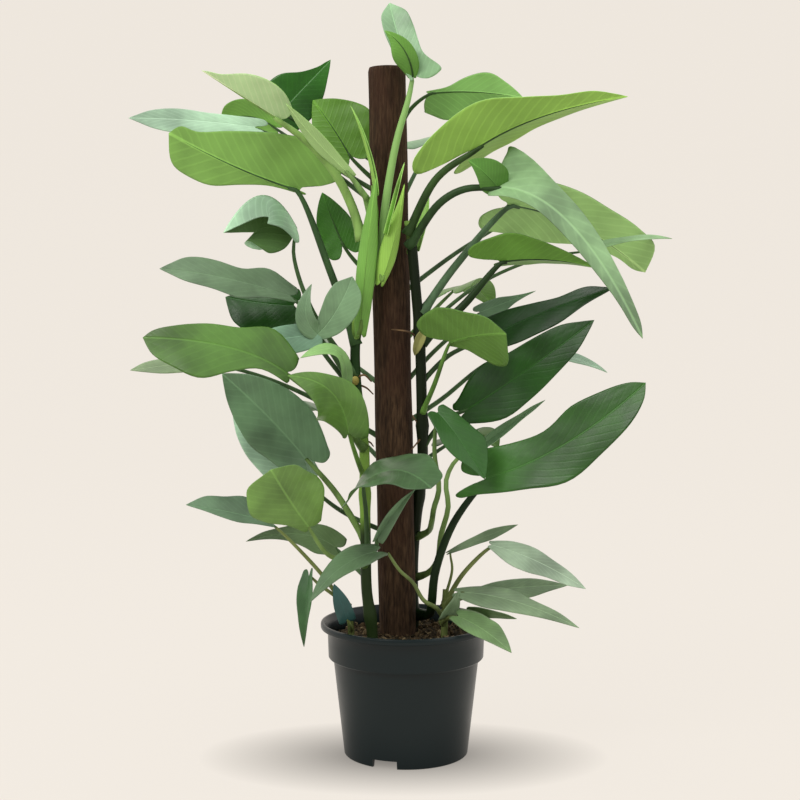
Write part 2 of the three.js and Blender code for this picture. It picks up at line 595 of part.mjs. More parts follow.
    face: [-0.2, -0.95, 0.1], widths: [[30, 40, 40, 34, 22], [26, 32, 37, 31, 20]], lobe: [0.14, 0.14],
    stalk: 3.4,
  },
  {
    name: "leaf_left_hanging_back", tone: "silver", root: [-15, 31, 239], via: [[-75, 30, 268]],
    joint: [-117, 32, 302], middle: [-156, 40, 337], tip: [-197, 48, 375],
    face: [-0.2, -0.95, 0.1], widths: [[24, 30, 30, 25, 16], [24, 27, 26, 23, 15]], lobe: 0.1,
  },
  {
    name: "leaf_left_front_green", tone: "green_top", root: [-45, -28, 309], via: [[-54, -54, 339]],
    joint: [-61, -78, 365], middle: [-78, -112, 411], tip: [-120, -140, 429],
    face: [-0.1, -0.85, 0.5], widths: [[22, 24, 24, 15, 8], [8, 21, 31, 30, 18]], lobe: 0.06, fold: [6, 6],
  },
  {
    name: "leaf_left_low_green", tone: "green_top", root: [-44, -42, 224], via: [[-81, -66, 232]],
    joint: [-103, -82, 266], middle: [-121, -112, 299], tip: [-138, -134, 333],
    face: [-0.2, -0.85, 0.45], widths: [[16, 27, 37, 37, 30], [8, 16, 33, 42, 37]],
    blunt: 0.75, lobe: 0.04, fold: 4,
  },
  {
    name: "leaf_left_low_silver", tone: "silver", root: [-42, -36, 202], via: [[-62, -12, 216]],
    joint: [-77, -4, 230], middle: [-119, -10, 247], tip: [-176, -18, 240],
    face: [0, -0.7, 0.7], widths: [[18, 18, 14, 9, 6], [12, 20, 16, 9, 4]], lobe: 0.06,
  },
  {
    name: "leaf_left_front_low", tone: "green_top", root: [-45, -42, 217], via: [[-38, -60, 229]],
    joint: [-32, -84, 240], middle: [-68, -130, 231], tip: [-97, -168, 203],
    face: [0, -0.7, 0.7], widths: [[12, 16, 15, 11, 6], [10, 14, 13, 10, 6]], lobe: 0.12,
  },
  {
    name: "leaf_centre_folded", tone: "silver", root: [-36, -43, 230], via: [[-32, -57, 242]],
    joint: [-31, -62, 251], middle: [-13, -72, 280], tip: [9, -78, 305],
    face: [0.5, -0.6, 0.6], half: 9, lobe: 0.05, fold: 45,
  },
  {
    name: "leaf_rear_top_left", tone: "silver", root: [-20, 31, 562], via: [[-26, 78, 636]],
    joint: [-40, 110, 688], middle: [-60, 152, 700], tip: [-80, 182, 680],
    face: [-0.1, 0.45, 0.9], half: 32, lobe: 0.2, columns: 4,
  },
  {
    name: "leaf_rear_top_right", tone: "silver", root: [-21, 31, 580], via: [[10, 80, 648]],
    joint: [30, 110, 688], middle: [50, 152, 700], tip: [75, 182, 688],
    face: [0.1, 0.45, 0.9], half: 34, lobe: 0.2, columns: 4,
  },
  {
    name: "leaf_rear_high_right", tone: "silver", root: [-20, 31, 500], via: [[60, 80, 560]],
    joint: [120, 110, 598], middle: [160, 140, 604], tip: [200, 172, 585],
    face: [0.1, 0.5, 0.85], half: 32, lobe: 0.2, columns: 4,
  },
  {
    name: "leaf_rear_mid_right", tone: "green_top", root: [-18, 31, 440], via: [[20, 80, 480]],
    joint: [55, 110, 516], middle: [82, 152, 520], tip: [108, 182, 494],
    face: [0.1, 0.5, 0.85], half: 30, lobe: 0.2, columns: 4,
  },
  {
    name: "leaf_rear_mid_left", tone: "silver", root: [-17, 31, 400], via: [[-60, 80, 430]],
    joint: [-105, 108, 458], middle: [-138, 150, 462], tip: [-168, 180, 436],
    face: [-0.1, 0.5, 0.85], half: 34, lobe: 0.2, columns: 4,
  },
  {
    name: "leaf_rear_low_left", tone: "silver", root: [-15, 31, 310], via: [[-55, 82, 345]],
    joint: [-95, 112, 376], middle: [-122, 152, 378], tip: [-150, 182, 354],
    face: [-0.1, 0.5, 0.85], half: 32, lobe: 0.2, columns: 4,
  },
  {
    name: "leaf_rear_low_right", tone: "dark", root: [-14, 31, 290], via: [[20, 75, 318]],
    joint: [58, 105, 342], middle: [88, 148, 344], tip: [114, 180, 322],
    face: [0.1, 0.5, 0.85], half: 30, lobe: 0.2, columns: 4,
  },
  {
    name: "leaf_rear_centre", tone: "silver", root: [-12, 31, 235], via: [[-18, 70, 270]],
    joint: [-20, 98, 300], middle: [-14, 142, 306], tip: [-8, 178, 290],
    face: [0, 0.5, 0.85], half: 28, lobe: 0.2, columns: 4,
  },
  {
    name: "sheath_left", tone: "lime", root: [-54, -28, 464], via: [],
    joint: [-49, -39, 471], middle: [-42, -49, 552], tip: [-32, -52, 634],
    face: [0.1, 0.95, 0], widths: [[8, 12, 13, 11, 6], [7, 11, 12, 11, 6]], lobe: 0.04, fold: 18, curl: 35,
    rib: 0.4,
  },
  {
    name: "sheath_right_back", tone: "lime", root: [4, -29, 556], via: [],
    joint: [12, -18, 560], middle: [20, -12, 590], tip: [24, -8, 624],
    face: [-0.6, -0.8, 0], half: 9, lobe: 0.05, fold: 15, curl: 40, rib: 0.4,
  },
];

// Low shoots: short stems with small leaves, each grown as one
const LOW_SHOOTS = {
  shoot_low_right: {
    stem: {
      radius: 4.2, nodes: [],
      route: [[42, -20, 100], [42, -20, 140], [43, -18, 170], [44, -14, 186]],
    },
    runner: {
      radius: 2.3, nodes: [],
      route: [[42, -20, 152], [33, -38, 170], [19, -45, 180], [7, -46, 200], [-7, -46, 213], [-20, -44, 232]],
    },
    leaves: [
      {
        root: [41, -18, 167], via: [[63, -25, 206]], joint: [93, -30, 238],
        middle: [141, -38, 222], tip: [195, -42, 192],
        face: [0.2, -0.8, 0.6], widths: [[5, 17, 18, 13, 10], [5, 12, 14, 10, 7]], lobe: 0.03,
      },
      {
        root: [42, -16, 174], via: [[51, -10, 207]], joint: [48, -6, 226],
        middle: [87, 0, 242], tip: [125, 6, 255],
        face: [0.2, -0.8, 0.5], widths: [2, 4, 5, 6, 4], lobe: 0.05, stalk: 1.6,
      },
      {
        root: [42, -14, 170], via: [[63, 8, 172]], joint: [84, 22, 176],
        middle: [135, 30, 180], tip: [184, 34, 181],
        face: [0, -0.75, 0.65], widths: [[8, 13, 15, 13, 7], [6, 10, 11, 10, 6]], lobe: 0.06, stalk: 2.7,
      },
      {
        root: [42, -18, 161], via: [[48, -32, 178]], joint: [57, -40, 188],
        middle: [117, -62, 182], tip: [184, -78, 157],
        face: [0, -0.75, 0.65], widths: [[7, 16, 15, 11, 6], [5, 10, 13, 8, 6]], lobe: 0.05, stalk: 2.8,
      },
      {
        root: [41, -16, 157], via: [[58, -6, 158]], joint: [71, -2, 159],
        middle: [98, 2, 154], tip: [124, 4, 149],
        face: [0, 0.7, 0.7], half: 9, lobe: 0.1, stalk: 1.8,
      },
      {
        root: [40, -20, 151], via: [[47, -42, 160]], joint: [56, -52, 164],
        middle: [83, -82, 155], tip: [110, -106, 137],
        face: [0.1, -0.75, 0.65], widths: [[9, 13, 13, 10, 6], [11, 16, 16, 15, 9]], lobe: 0.1, stalk: 2.7,
      },
      {
        root: [40, -22, 149], via: [[41, -30, 154]], joint: [43, -36, 159],
        middle: [51, -44, 175], tip: [56, -46, 190],
        face: [0.5, -0.8, 0.3], half: 10, lobe: 0.05, stalk: 1.8, fold: 20,
      },
    ],
  },
  shoot_low_left: {
    stem: {
      radius: 4, nodes: [],
      route: [[-60, -28, 100], [-60, -28, 135], [-62, -30, 160], [-66, -34, 176]],
    },
    leaves: [
      {
        root: [-61, -30, 162], via: [[-95, -46, 213]], joint: [-143, -54, 265],
        middle: [-186, -60, 278], tip: [-235, -64, 287],
        face: [0, -0.8, 0.6], widths: [[6, 17, 22, 17, 13], [4, 7, 10, 8, 4]], lobe: 0.04, stalk: 2.2,
      },
      {
        root: [-62, -32, 171], via: [[-93, -60, 200]], joint: [-103, -76, 213],
        middle: [-106, -88, 179], tip: [-108, -92, 140],
        face: [-0.7, -0.7, 0.1], widths: [[9, 12, 12, 9, 5], [9, 12, 12, 9, 5]], lobe: 0.1, fold: 25,
        stalk: 2,
      },
      {
        root: [-60, -28, 142], via: [[-60, -40, 150]], joint: [-64, -48, 160], middle: [-70, -52, 178],
        tip: [-78, -54, 200], face: [0, -1, 0.2], half: 10, lobe: 0.1, stalk: 2,
      },
    ],
  },
};

// Aerial roots, grown from the stems: thin and bent towards the pole
const AERIAL_ROOTS = {
  stem_left: [
    [[-55, -26, 414], [-44, -24, 410], [-36, -14, 402]],
    [[-55, -26, 420], [-46, -32, 424], [-38, -18, 416]],
    [[-46, -27, 352], [-40, -20, 350], [-36, -8, 344]],
  ],
  stem_right: [
    [[15, -24, 461], [4, -29, 470], [-16, -23, 473]],
    [[17, -11, 354], [12, -20, 349], [6, -22, 342]],
    [[17, -15, 367], [11, -20, 373], [7, -17, 379]],
  ],
};

// Materials, one for each node
const TONES = {
  lime: "#93b85a",
  young: "#a4c88e",
  green: "#6f9a52",
  green_top: "#557f47",
  silver: "#7b9c82",
  dark: "#3f6238",
};

function material(color, roughness = 0.5) {
  return new THREE.MeshStandardMaterial({ color, roughness, metalness: 0 });
}

const plant = new THREE.Group();

function addNode(name, geometry, look) {
  const mesh = new THREE.Mesh(geometry, look);
  mesh.name = name;
  plant.add(mesh);
}

function stemSolid(name, stem) {
  const roots = (AERIAL_ROOTS[name] ?? []).map((route) => {
    const curve = new THREE.CatmullRomCurve3(route.map(vector));
    return toSolid(tube(curve, ROOT_RADIUS, 4, 4, (t) => 1.2 - 0.6 * t));
  });
  return roots.reduce((all, root) => all.add(root), toSolid(stemGeometry(stem)));
}

const shootStems = Object.values(LOW_SHOOTS).map((shoot) => shoot.stem);
const clearances = Object.values(STEMS).map((stem) => toSolid(stemGeometry(stem, GAP)));
const stemClearance = clearances.reduce((all, one) => all.add(one));
const shootHoles = shootStems.map((stem) => toSolid(stemGeometry(stem, GAP)));
const holes = [...clearances, ...shootHoles, toSolid(poleGeometry(GAP))];
const mixSolidHoled = holes.reduce((mix, hole) => mix.subtract(hole), mixSolid());

addNode("pot", potGeometry(), material("#2c3434", 0.45));
addNode("potting_mix", toGeometry(mixSolidHoled), material("#4a3b2a", 0.95));
addNode("pole", toGeometry(toSolid(poleGeometry())), material("#44352a", 0.95));
for (const [name, stem] of Object.entries(STEMS)) {
  addNode(name, toGeometry(stemSolid(name, stem)), material("#4c7038"));
}
for (const [name, shoot] of Object.entries(LOW_SHOOTS)) {
  let solid = toSolid(stemGeometry(shoot.stem));
  for (const leaf of shoot.leaves) solid = solid.add(leafSolid(leaf));
  if (shoot.runner) {
    const curve = new THREE.CatmullRomCurve3(shoot.runner.route.map(vector));
    solid = solid.add(toSolid(tube(curve, shoot.runner.radius, STALK_SIDES, 5, (t) => 1.2 - 0.5 * t)));
  }
  addNode(name, toGeometry(solid), material(TONES.silver));
}
for (const leaf of LEAVES) {
  addNode(leaf.name, toGeometry(seatedLeaf(leaf, stemClearance)), material(TONES[leaf.tone]));
}

export default plant;
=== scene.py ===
import math
import random

import bpy
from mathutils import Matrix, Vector, noise


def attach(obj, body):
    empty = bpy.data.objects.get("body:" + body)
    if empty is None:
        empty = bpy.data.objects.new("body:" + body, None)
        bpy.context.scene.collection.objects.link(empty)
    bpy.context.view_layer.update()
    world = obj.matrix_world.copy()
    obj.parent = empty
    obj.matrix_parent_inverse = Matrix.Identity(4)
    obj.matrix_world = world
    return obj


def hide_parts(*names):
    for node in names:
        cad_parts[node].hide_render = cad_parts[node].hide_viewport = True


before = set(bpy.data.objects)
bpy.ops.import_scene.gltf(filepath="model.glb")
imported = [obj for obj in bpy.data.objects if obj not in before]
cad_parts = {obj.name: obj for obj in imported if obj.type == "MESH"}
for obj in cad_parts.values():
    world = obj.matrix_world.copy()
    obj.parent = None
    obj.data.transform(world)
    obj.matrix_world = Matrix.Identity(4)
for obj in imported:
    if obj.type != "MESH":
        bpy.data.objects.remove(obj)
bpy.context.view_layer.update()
random.seed(11)

# One millimetre in metres
MM = 0.001

STEMS = {
    "stem_left": {
        "radius": 6.2, "nodes": [0.22, 0.46, 0.63, 0.8],
        "route": [[-36, -33, 40], [-37, -34, 141], [-43, -38, 190], [-44, -40, 238], [-45, -34, 299],
            [-46, -27, 347], [-53, -26, 402], [-55, -26, 456], [-48, -27, 505], [-42, -28, 559],
            [-38, -28, 590]],
    },
    "stem_right": {
        "radius": 6.6, "nodes": [0.2, 0.44, 0.6, 0.78],
        "route": [[8, 25, 40], [8, 25, 140], [8, 25, 215], [13, 20, 275], [18, 7, 318], [18, -11, 355],
            [17, -22, 396], [15, -24, 461], [10, -26, 521], [5, -29, 575], [3, -30, 590]],
    },
    "stem_back": {
        "radius": 6, "nodes": [0.25, 0.45, 0.62, 0.82],
        "route": [[-9, 32, 40], [-10, 31, 131], [-16, 31, 336], [-20, 31, 560], [-22, 31, 672]],
    },
}

AERIAL_ROOTS = {
    "stem_left": [
        [[-55, -26, 414], [-44, -24, 410], [-36, -14, 402]],
        [[-55, -26, 420], [-46, -32, 424], [-38, -18, 416]],
        [[-46, -27, 352], [-40, -20, 350], [-36, -8, 344]],
    ],
    "stem_right": [
        [[15, -24, 461], [4, -29, 470], [-16, -23, 473]],
        [[17, -11, 354], [12, -20, 349], [6, -22, 342]],
        [[17, -15, 367], [11, -20, 373], [7, -17, 379]],
    ],
}


def blade(root, via, joint, middle, tip, face, **shape):
    """One leaf, in millimetres: its stalk goes from the root by way of some points to the joint, its blade
    over the middle to the tip, and face is the way its upper side looks. Widths are half widths from the
    joint to the tip, alike on both sides or given for each, and so are lobe, fold and curl. The side seen
    from the front has the colour shown, with painted light and shade as that leaf is lit, and wings are
    second lobes or young blades grown with the leaf."""
    places = {"root": root, "via": via, "joint": joint, "middle": middle, "tip": tip, "face": face}
    return {**places, **shape}


def named(name, tone, *places, **shape):
    """A leaf that is a piece of its own, with its name and its tone."""
    return {"name": name, "tone": tone, **blade(*places, **shape)}


LEAVES = [
    named("leaf_top_new", "young", [-50, -26, 503],
        [[-41, -27, 518], [-28, -34, 552], [-23, -35, 601], [-15, -34, 652], [-8, -33, 684], [2, -33, 718]],
        [7, -32, 743], [-8, -24, 785], [-18, -6, 825], [-0.1, -0.97, 0.15],
        widths=[[32, 20, 19, 19, 16], [5, 9, 13, 15, 13]], lobe=[0.1, 0.05], fold=[8, 20], curl=[-10, 40],
        stalk=4.4,
        wings=[
            blade([2, -33, 720], [], [7, -32, 743], [-2, -46, 768], [-23, -44, 789], [0.1, 0.95, 0.25],
                tone="green", widths=[[6, 12, 15, 13, 6], [4, 9, 10, 9, 5]], lobe=0.04, fold=4, stalk=0,
                shown=(108, 152, 74)),
            blade([-28, -34, 550], [], [-27, -38, 524], [-13, -47, 569], [-2, -46, 628], [-0.3, 0.95, 0],
                tone="lime", widths=[[6, 13, 13, 9, 4], [6, 11, 10, 6, 3]], lobe=0.05, fold=25, curl=30,
                rib=0.4),
            blade([-23, -36, 573], [], [-19, -44, 579], [-10, -56, 615], [-2, -54, 650], [-0.3, -0.9, 0],
                tone="lime", half=7, lobe=0.05, fold=60, curl=20, rib=0.4, stalk=2),
        ]),
    named("leaf_right_top_back", "green", [-20, 31, 660], [[4, 42, 716]], [25, 45, 735], [77, 55, 738],
        [133, 62, 732], [0, 0.85, 0.5], widths=[[3, 6, 18, 24, 14], [26, 35, 30, 21, 10]], lobe=[0.02, 0.04],
        fold=[8, 12], shown=(154, 202, 122)),
    named("leaf_right_lime", "lime", [1, -30, 575], [[33, -40, 635]], [70, -46, 662], [138, -66, 695],
        [229, -82, 715], [-0.1, 0.8, 0.55], widths=[[46, 44, 30, 18, 13], [36, 36, 28, 22, 12]],
        lobe=[0.36, 0.2], fold=[8, 45], stalk=4.4, stalk_color=(58, 84, 40)),
    named("leaf_right_silver_long", "silver", [3, -28, 562], [[36, -50, 608], [63, -58, 622]], [96, -62, 623],
        [168, -104, 583], [240, -126, 466], [0.35, -0.85, 0.35],
        widths=[[12, 14, 16, 14, 8], [56, 31, 21, 15, 10]], blunt=0.65, lobe=[0.04, 0.03], fold=5, stalk=4.2,
        shown=(126, 158, 112), stalk_color=(52, 78, 42),
        wings=[
            blade([78, -61, 623], [], [96, -62, 623], [81, -70, 638], [65, -66, 651], [0, 0.9, 0.4],
                tone="green", widths=[[13, 15, 12, 8, 4], [14, 20, 20, 16, 9]], lobe=0.05, fold=6, rib=0.5,
                stalk=0, shown=(96, 140, 70)),
        ]),
    named("leaf_right_under_big", "green", [16, -24, 489], [[54, 0, 542]], [112, 22, 610], [194, 50, 588],
        [273, 64, 536], [0.2, 0.85, 0.5], widths=[[30, 38, 40, 38, 36], [42, 40, 36, 20, 9]], blunt=0.85,
        lobe=[0.1, 0.14], fold=[4, 10], curl=-8, stalk=4.2, shown=(168, 208, 132), stalk_color=(84, 112, 78)),
    named("leaf_right_narrow", "silver", [16, -20, 472], [[82, 8, 523], [149, 28, 551]], [205, 26, 560],
        [250, 30, 572], [302, 58, 574], [0, -0.6, 0.8], widths=[7, 7, 5, 5, 4], lobe=0.05, fold=20, stalk=2,
        shown=(122, 154, 108)),
    named("leaf_right_under_flat", "green", [17, -24, 459], [[62, -22, 499]], [101, -26, 546],
        [152, -40, 548], [201, -50, 539], [0, 0.8, 0.6], widths=[[34, 35, 27, 17, 8], [24, 24, 20, 17, 9]],
        lobe=[0.3, 0.1], fold=[5, 45], stalk=4.4, shown=(116, 160, 74), stalk_color=(42, 64, 32)),
    named("leaf_right_small_back", "silver", [-19, 31, 390], [[33, 40, 448]], [84, 45, 491], [114, 55, 502],
        [148, 60, 515], [0, -0.85, 0.5], widths=[[9, 12, 10, 5, 2], [9, 10, 9, 5, 2]], lobe=0.1,
        shown=(96, 126, 92)),
    named("leaf_right_dark_upper", "dark", [16, -24, 415], [[48, -10, 445]], [89, 0, 463], [151, -32, 493],
        [220, -60, 518], [-0.2, -0.85, 0.5], widths=[[18, 24, 23, 19, 9], [22, 21, 15, 10, 11]], lobe=0.1,
        fold=[8, 12], shown=(26, 56, 18)),
    named("leaf_right_dark_lower", "dark", [20, -8, 346], [[43, -13, 374]], [65, -22, 385], [126, -48, 428],
        [198, -70, 484], [-0.2, -0.9, 0.35], widths=[[16, 32, 30, 24, 17], [16, 35, 29, 25, 19]], lobe=0.08,
        fold=6, shown=(38, 66, 32)),
    named("leaf_right_pale_back", "silver", [-17, 31, 356], [[39, 60, 390], [97, 78, 433]], [146, 88, 447],
        [197, 92, 437], [235, 94, 420], [0, -0.6, 0.8], widths=[8, 9, 9, 8, 5], lobe=0.1,
        shown=(150, 180, 150)),
    named("leaf_centre_short", "green", [18, -22, 383], [[30, -46, 414]], [46, -62, 460], [74, -98, 468],
        [101, -130, 471], [0.1, 0.9, 0.4], widths=[[42, 43, 39, 30, 20], [6, 16, 32, 42, 34]],
        lobe=[0.28, 0.04], fold=4, curl=-10, shown=(110, 146, 74), stalk_color=(96, 136, 58)),
    named("leaf_right_narrow_grey", "silver", [10, 24, 192],
        [[24, 12, 199], [35, -12, 219], [38, -30, 249], [46, -26, 279], [44, -14, 307], [57, -2, 330]],
        [87, 6, 345], [117, 10, 367], [155, 12, 394], [0.3, -0.7, 0.6], widths=[6, 7, 6, 4, 3], lobe=0.05,
        fold=30, stalk=3, stalk_color=(116, 144, 80)),
    named("leaf_right_big_low", "green_top", [10, 24, 150],
        [[25, 6, 154], [28, -24, 172], [32, -40, 212], [53, -50, 269]], [85, -58, 315], [167, -88, 355],
        [247, -106, 420], [-0.2, -0.88, 0.42], widths=[[17, 27, 38, 31, 24], [33, 28, 24, 31, 24]],
        blunt=0.55, lobe=[0.2, 0.14], fold=5, curl=-6, stalk=4.6, shown=(56, 86, 47),
        stalk_color=(26, 46, 20)),
    named("leaf_centre_dark_small", "dark", [11, 23, 238],
        [[24, 10, 246], [28, -22, 262], [30, -44, 281], [35, -54, 302], [30, -60, 345]], [33, -66, 386],
        [57, -82, 357], [82, -92, 318], [0.3, -0.9, 0.3], widths=[[12, 16, 19, 16, 8], [12, 17, 21, 24, 15]],
        lobe=0.06, fold=10, stalk=3, shown=(52, 80, 48), stalk_color=(104, 134, 72)),
    named("leaf_centre_front", "silver", [-42, -41, 237], [[-43, -66, 280]], [-47, -80, 311],
        [-11, -124, 331], [24, -176, 319], [0, -0.52, 0.84],
        widths=[[34, 38, 40, 37, 28], [34, 37, 38, 34, 25]], blunt=0.75, lobe=0.22, curl=-10,
        shown=(72, 100, 64)),
    named("leaf_left_lime", "lime", [-47, -34, 569], [[-59, -38, 607], [-77, -46, 641], [-104, -56, 671]],
        [-132, -62, 693], [-171, -80, 716], [-210, -92, 740], [0.2, 0.8, 0.55],
        widths=[[22, 22, 20, 14, 8], [20, 32, 33, 24, 9]], lobe=0.05, fold=[60, 8], curl=-10, stalk=4.8,
        shown=(204, 236, 172), stalk_color=(136, 172, 92)),
    named("leaf_left_lime_back", "lime", [-37, -27, 589], [[-43, -34, 614], [-43, -44, 614]], [-58, -54, 636],
        [-92, -68, 669], [-124, -86, 707], [0.3, 0.8, 0.4], widths=[5, 8, 10, 9, 6], lobe=0.03, fold=[20, 10],
        stalk=3.6, shown=(176, 210, 138), stalk_color=(140, 180, 100)),
    named("leaf_left_dark_top", "dark", [-21, 31, 649], [[-85, 40, 689]], [-141, 42, 713], [-116, 44, 740],
        [-84, 42, 772], [0.3, -0.9, 0.2], widths=[[28, 30, 28, 22, 12], [30, 32, 28, 14, 5]], lobe=0.1,
        shown=(54, 98, 44)),
    named("leaf_left_silver_far", "silver", [-20, 31, 601], [[-120, 56, 674]], [-170, 56, 699],
        [-238, 44, 705], [-306, 20, 705], [0, -0.85, 0.5],
        widths=[[12, 11, 12, 15, 11], [16, 19, 21, 21, 15]], lobe=0.1, shown=(164, 196, 164)),
    named("leaf_left_under_big", "green", [-54, -26, 456], [[-83, -14, 537]], [-116, -5, 624], [-184, 0, 649],
        [-261, 14, 688], [0, 0.85, 0.5], widths=[[4, 6, 18, 34, 38], [60, 58, 48, 34, 18]], lobe=[0.05, 0.26],
        blunt=0.8, fold=5, curl=-6, stalk=4.2, shown=(134, 176, 92), stalk_color=(62, 92, 52)),
    named("leaf_left_green_back", "green", [-21, 31, 618], [[-98, 74, 666]], [-150, 100, 703],
        [-185, 110, 718], [-216, 118, 710], [0, 0.8, 0.6],
        widths=[[16, 18, 18, 16, 10], [12, 17, 21, 21, 17]], lobe=0.1, shown=(138, 190, 92)),
    named("leaf_left_round", "green", [-21, 31, 629], [[-38, 28, 640]], [-61, 26, 662], [-81, 32, 695],
        [-104, 40, 727], [0.1, 0.95, -0.1], widths=[[26, 30, 28, 22, 13], [32, 39, 45, 38, 23]], lobe=0.12,
        fold=4, shown=(102, 143, 58)),
    named("leaf_left_spear", "lime", [-35, -31, 578], [[-32, -34, 596]], [-35, -34, 620], [-43, -36, 663],
        [-59, -38, 711], [0.6, -0.8, 0], half=8, lobe=0.05, fold=70, curl=20),
    named("leaf_left_silver_arch", "silver", [-54, -27, 423], [[-101, -40, 494], [-120, -46, 552]],
        [-116, -50, 581], [-152, -62, 615], [-191, -78, 575], [-0.1, 0.15, 1],
        widths=[[46, 56, 58, 48, 30], [30, 44, 45, 34, 20]], lobe=0.12, fold=[-72, -52], curl=-8, wave=0.03,
        shown=(152, 188, 152)),
    named("leaf_left_inner", "green", [-21, 31, 516], [[-56, 26, 547]], [-70, 26, 565], [-83, 34, 596],
        [-94, 42, 625], [0, 0.95, -0.3], half=22, shown=(66, 110, 44)),
    named("leaf_left_silver_long", "silver", [-53, -26, 407], [[-99, -18, 485]], [-126, -18, 509],
        [-193, -44, 528], [-261, -60, 538], [0, -0.8, 0.6],
        widths=[[15, 25, 17, 21, 18], [8, 13, 22, 19, 14]], lobe=0.06, fold=10, shown=(96, 118, 90)),
    named("leaf_left_dark_behind", "dark", [-53, -24, 401], [[-97, 0, 455]], [-124, 8, 499], [-160, 14, 501],
        [-201, 20, 508], [0, -0.9, 0.4], widths=[[20, 20, 19, 15, 9], [32, 38, 40, 36, 26]], lobe=0.1,
        shown=(36, 70, 28)),
    named("leaf_left_grey_lobed", "silver", [-53, -28, 394], [[-70, -46, 432]], [-94, -58, 469],
        [-132, -64, 464], [-176, -68, 455], [0.1, -0.95, 0.3],
        widths=[[10, 13, 14, 13, 9], [14, 17, 18, 16, 10]], lobe=0.05, fold=4, curl=-6, shown=(102, 134, 108),
        wings=[
            blade([-70, -47, 434], [], [-94, -58, 469], [-74, -62, 494], [-57, -60, 530], [0.3, -0.9, 0.2],
                widths=[[8, 16, 20, 21, 16], [5, 12, 16, 18, 15]], lobe=0.05, fold=12, rib=0.5, stalk=0),
            blade([-70, -47, 433], [], [-94, -58, 469], [-106, -66, 490], [-100, -62, 522], [-0.2, -0.9, 0.3],
                widths=[[8, 10, 9, 6, 3], [8, 12, 12, 9, 5]], lobe=0.05, fold=10, rib=0.5, stalk=0),
        ]),
    named("leaf_left_bright", "green_top", [-46, -30, 344], [[-89, -72, 398]], [-124, -98, 429],
        [-182, -120, 457], [-268, -128, 467], [0, -0.88, 0.48],
        widths=[[24, 36, 25, 22, 15], [10, 12, 27, 42, 31]], blunt=0.6, lobe=0.04, fold=[4, 8], stalk=3.4,
        shown=(84, 112, 60), stalk_color=(96, 126, 64)),
    named("leaf_left_pale_back", "silver", [-18, 31, 344], [[-119, 34, 401], [-187, 36, 426]],
        [-231, 30, 435], [-266, 20, 432], [-306, 10, 427], [0, -0.75, 0.65],
        widths=[[8, 10, 10, 10, 7], [9, 12, 12, 11, 6]], lobe=0.1, shown=(130, 150, 112)),
    named("leaf_left_small_arch", "green", [-48, -31, 372], [[-58, -54, 394]], [-63, -72, 412],
        [-72, -84, 451], [-110, -96, 445], [0.4, -0.5, 0.75], widths=[6, 9, 11, 10, 6], lobe=0.05,
        shown=(120, 150, 100)),
    named("leaf_left_hanging", "silver", [-44, -38, 244], [[-77, -30, 296]], [-110, -22, 332],
        [-150, -8, 375], [-203, 0, 424], [-0.2, -0.95, 0.1],
        widths=[[30, 40, 40, 34, 22], [26, 32, 37, 31, 20]], lobe=0.14, stalk=3.4, shown=(86, 114, 82),
        stalk_color=(104, 132, 70)),
    named("leaf_left_hanging_back", "silver", [-15, 31, 239], [[-75, 30, 268]], [-117, 32, 302],
        [-156, 40, 337], [-197, 48, 375], [-0.2, -0.95, 0.1],
        widths=[[24, 30, 30, 25, 16], [24, 27, 26, 23, 15]], lobe=0.1, shown=(158, 192, 162)),
    named("leaf_left_front_green", "green_top", [-45, -28, 309], [[-54, -54, 339]], [-61, -78, 365],
        [-78, -112, 411], [-120, -140, 429], [-0.1, -0.85, 0.5],
        widths=[[22, 24, 24, 15, 8], [8, 21, 31, 30, 18]], lobe=0.06, fold=6, stalk_color=(112, 150, 70)),
    named("leaf_left_low_green", "green_top", [-44, -42, 224], [[-81, -66, 232]], [-103, -82, 266],
        [-121, -112, 299], [-138, -134, 333], [-0.2, -0.85, 0.45],
        widths=[[16, 27, 37, 37, 30], [8, 16, 33, 42, 37]], blunt=0.75, lobe=0.04, fold=4,
        shown=(112, 142, 80), stalk_color=(120, 148, 80)),
    named("leaf_left_low_silver", "silver", [-42, -36, 202], [[-62, -12, 216]], [-77, -4, 230],
        [-119, -10, 247], [-176, -18, 240], [0, -0.7, 0.7], widths=[[18, 18, 14, 9, 6], [12, 20, 16, 9, 4]],
        lobe=0.06, shown=(84, 106, 68)),
    named("leaf_left_front_low", "green_top", [-45, -42, 217], [[-38, -60, 229]], [-32, -84, 240],
        [-68, -130, 231], [-97, -168, 203], [0, -0.7, 0.7], widths=[[12, 16, 15, 11, 6], [10, 14, 13, 10, 6]],
        lobe=0.12, shown=(92, 110, 90)),
    named("leaf_centre_folded", "silver", [-36, -43, 230], [[-32, -57, 242]], [-31, -62, 251],
        [-13, -72, 280], [9, -78, 305], [0.5, -0.6, 0.6], half=9, lobe=0.05, fold=45),
    named("leaf_rear_top_left", "silver", [-20, 31, 562], [[-26, 78, 636]], [-40, 110, 688], [-60, 152, 700],
        [-80, 182, 680], [-0.1, 0.45, 0.9], half=32),
    named("leaf_rear_top_right", "silver", [-21, 31, 580], [[10, 80, 648]], [30, 110, 688], [50, 152, 700],
        [75, 182, 688], [0.1, 0.45, 0.9], half=34),
    named("leaf_rear_high_right", "silver", [-20, 31, 500], [[60, 80, 560]], [120, 110, 598], [160, 140, 604],
        [200, 172, 585], [0.1, 0.5, 0.85], half=32),
    named("leaf_rear_mid_right", "green_top", [-18, 31, 440], [[20, 80, 480]], [55, 110, 516], [82, 152, 520],
        [108, 182, 494], [0.1, 0.5, 0.85], half=30),
    named("leaf_rear_mid_left", "silver", [-17, 31, 400], [[-60, 80, 430]], [-105, 108, 458],
        [-138, 150, 462], [-168, 180, 436], [-0.1, 0.5, 0.85], half=34),
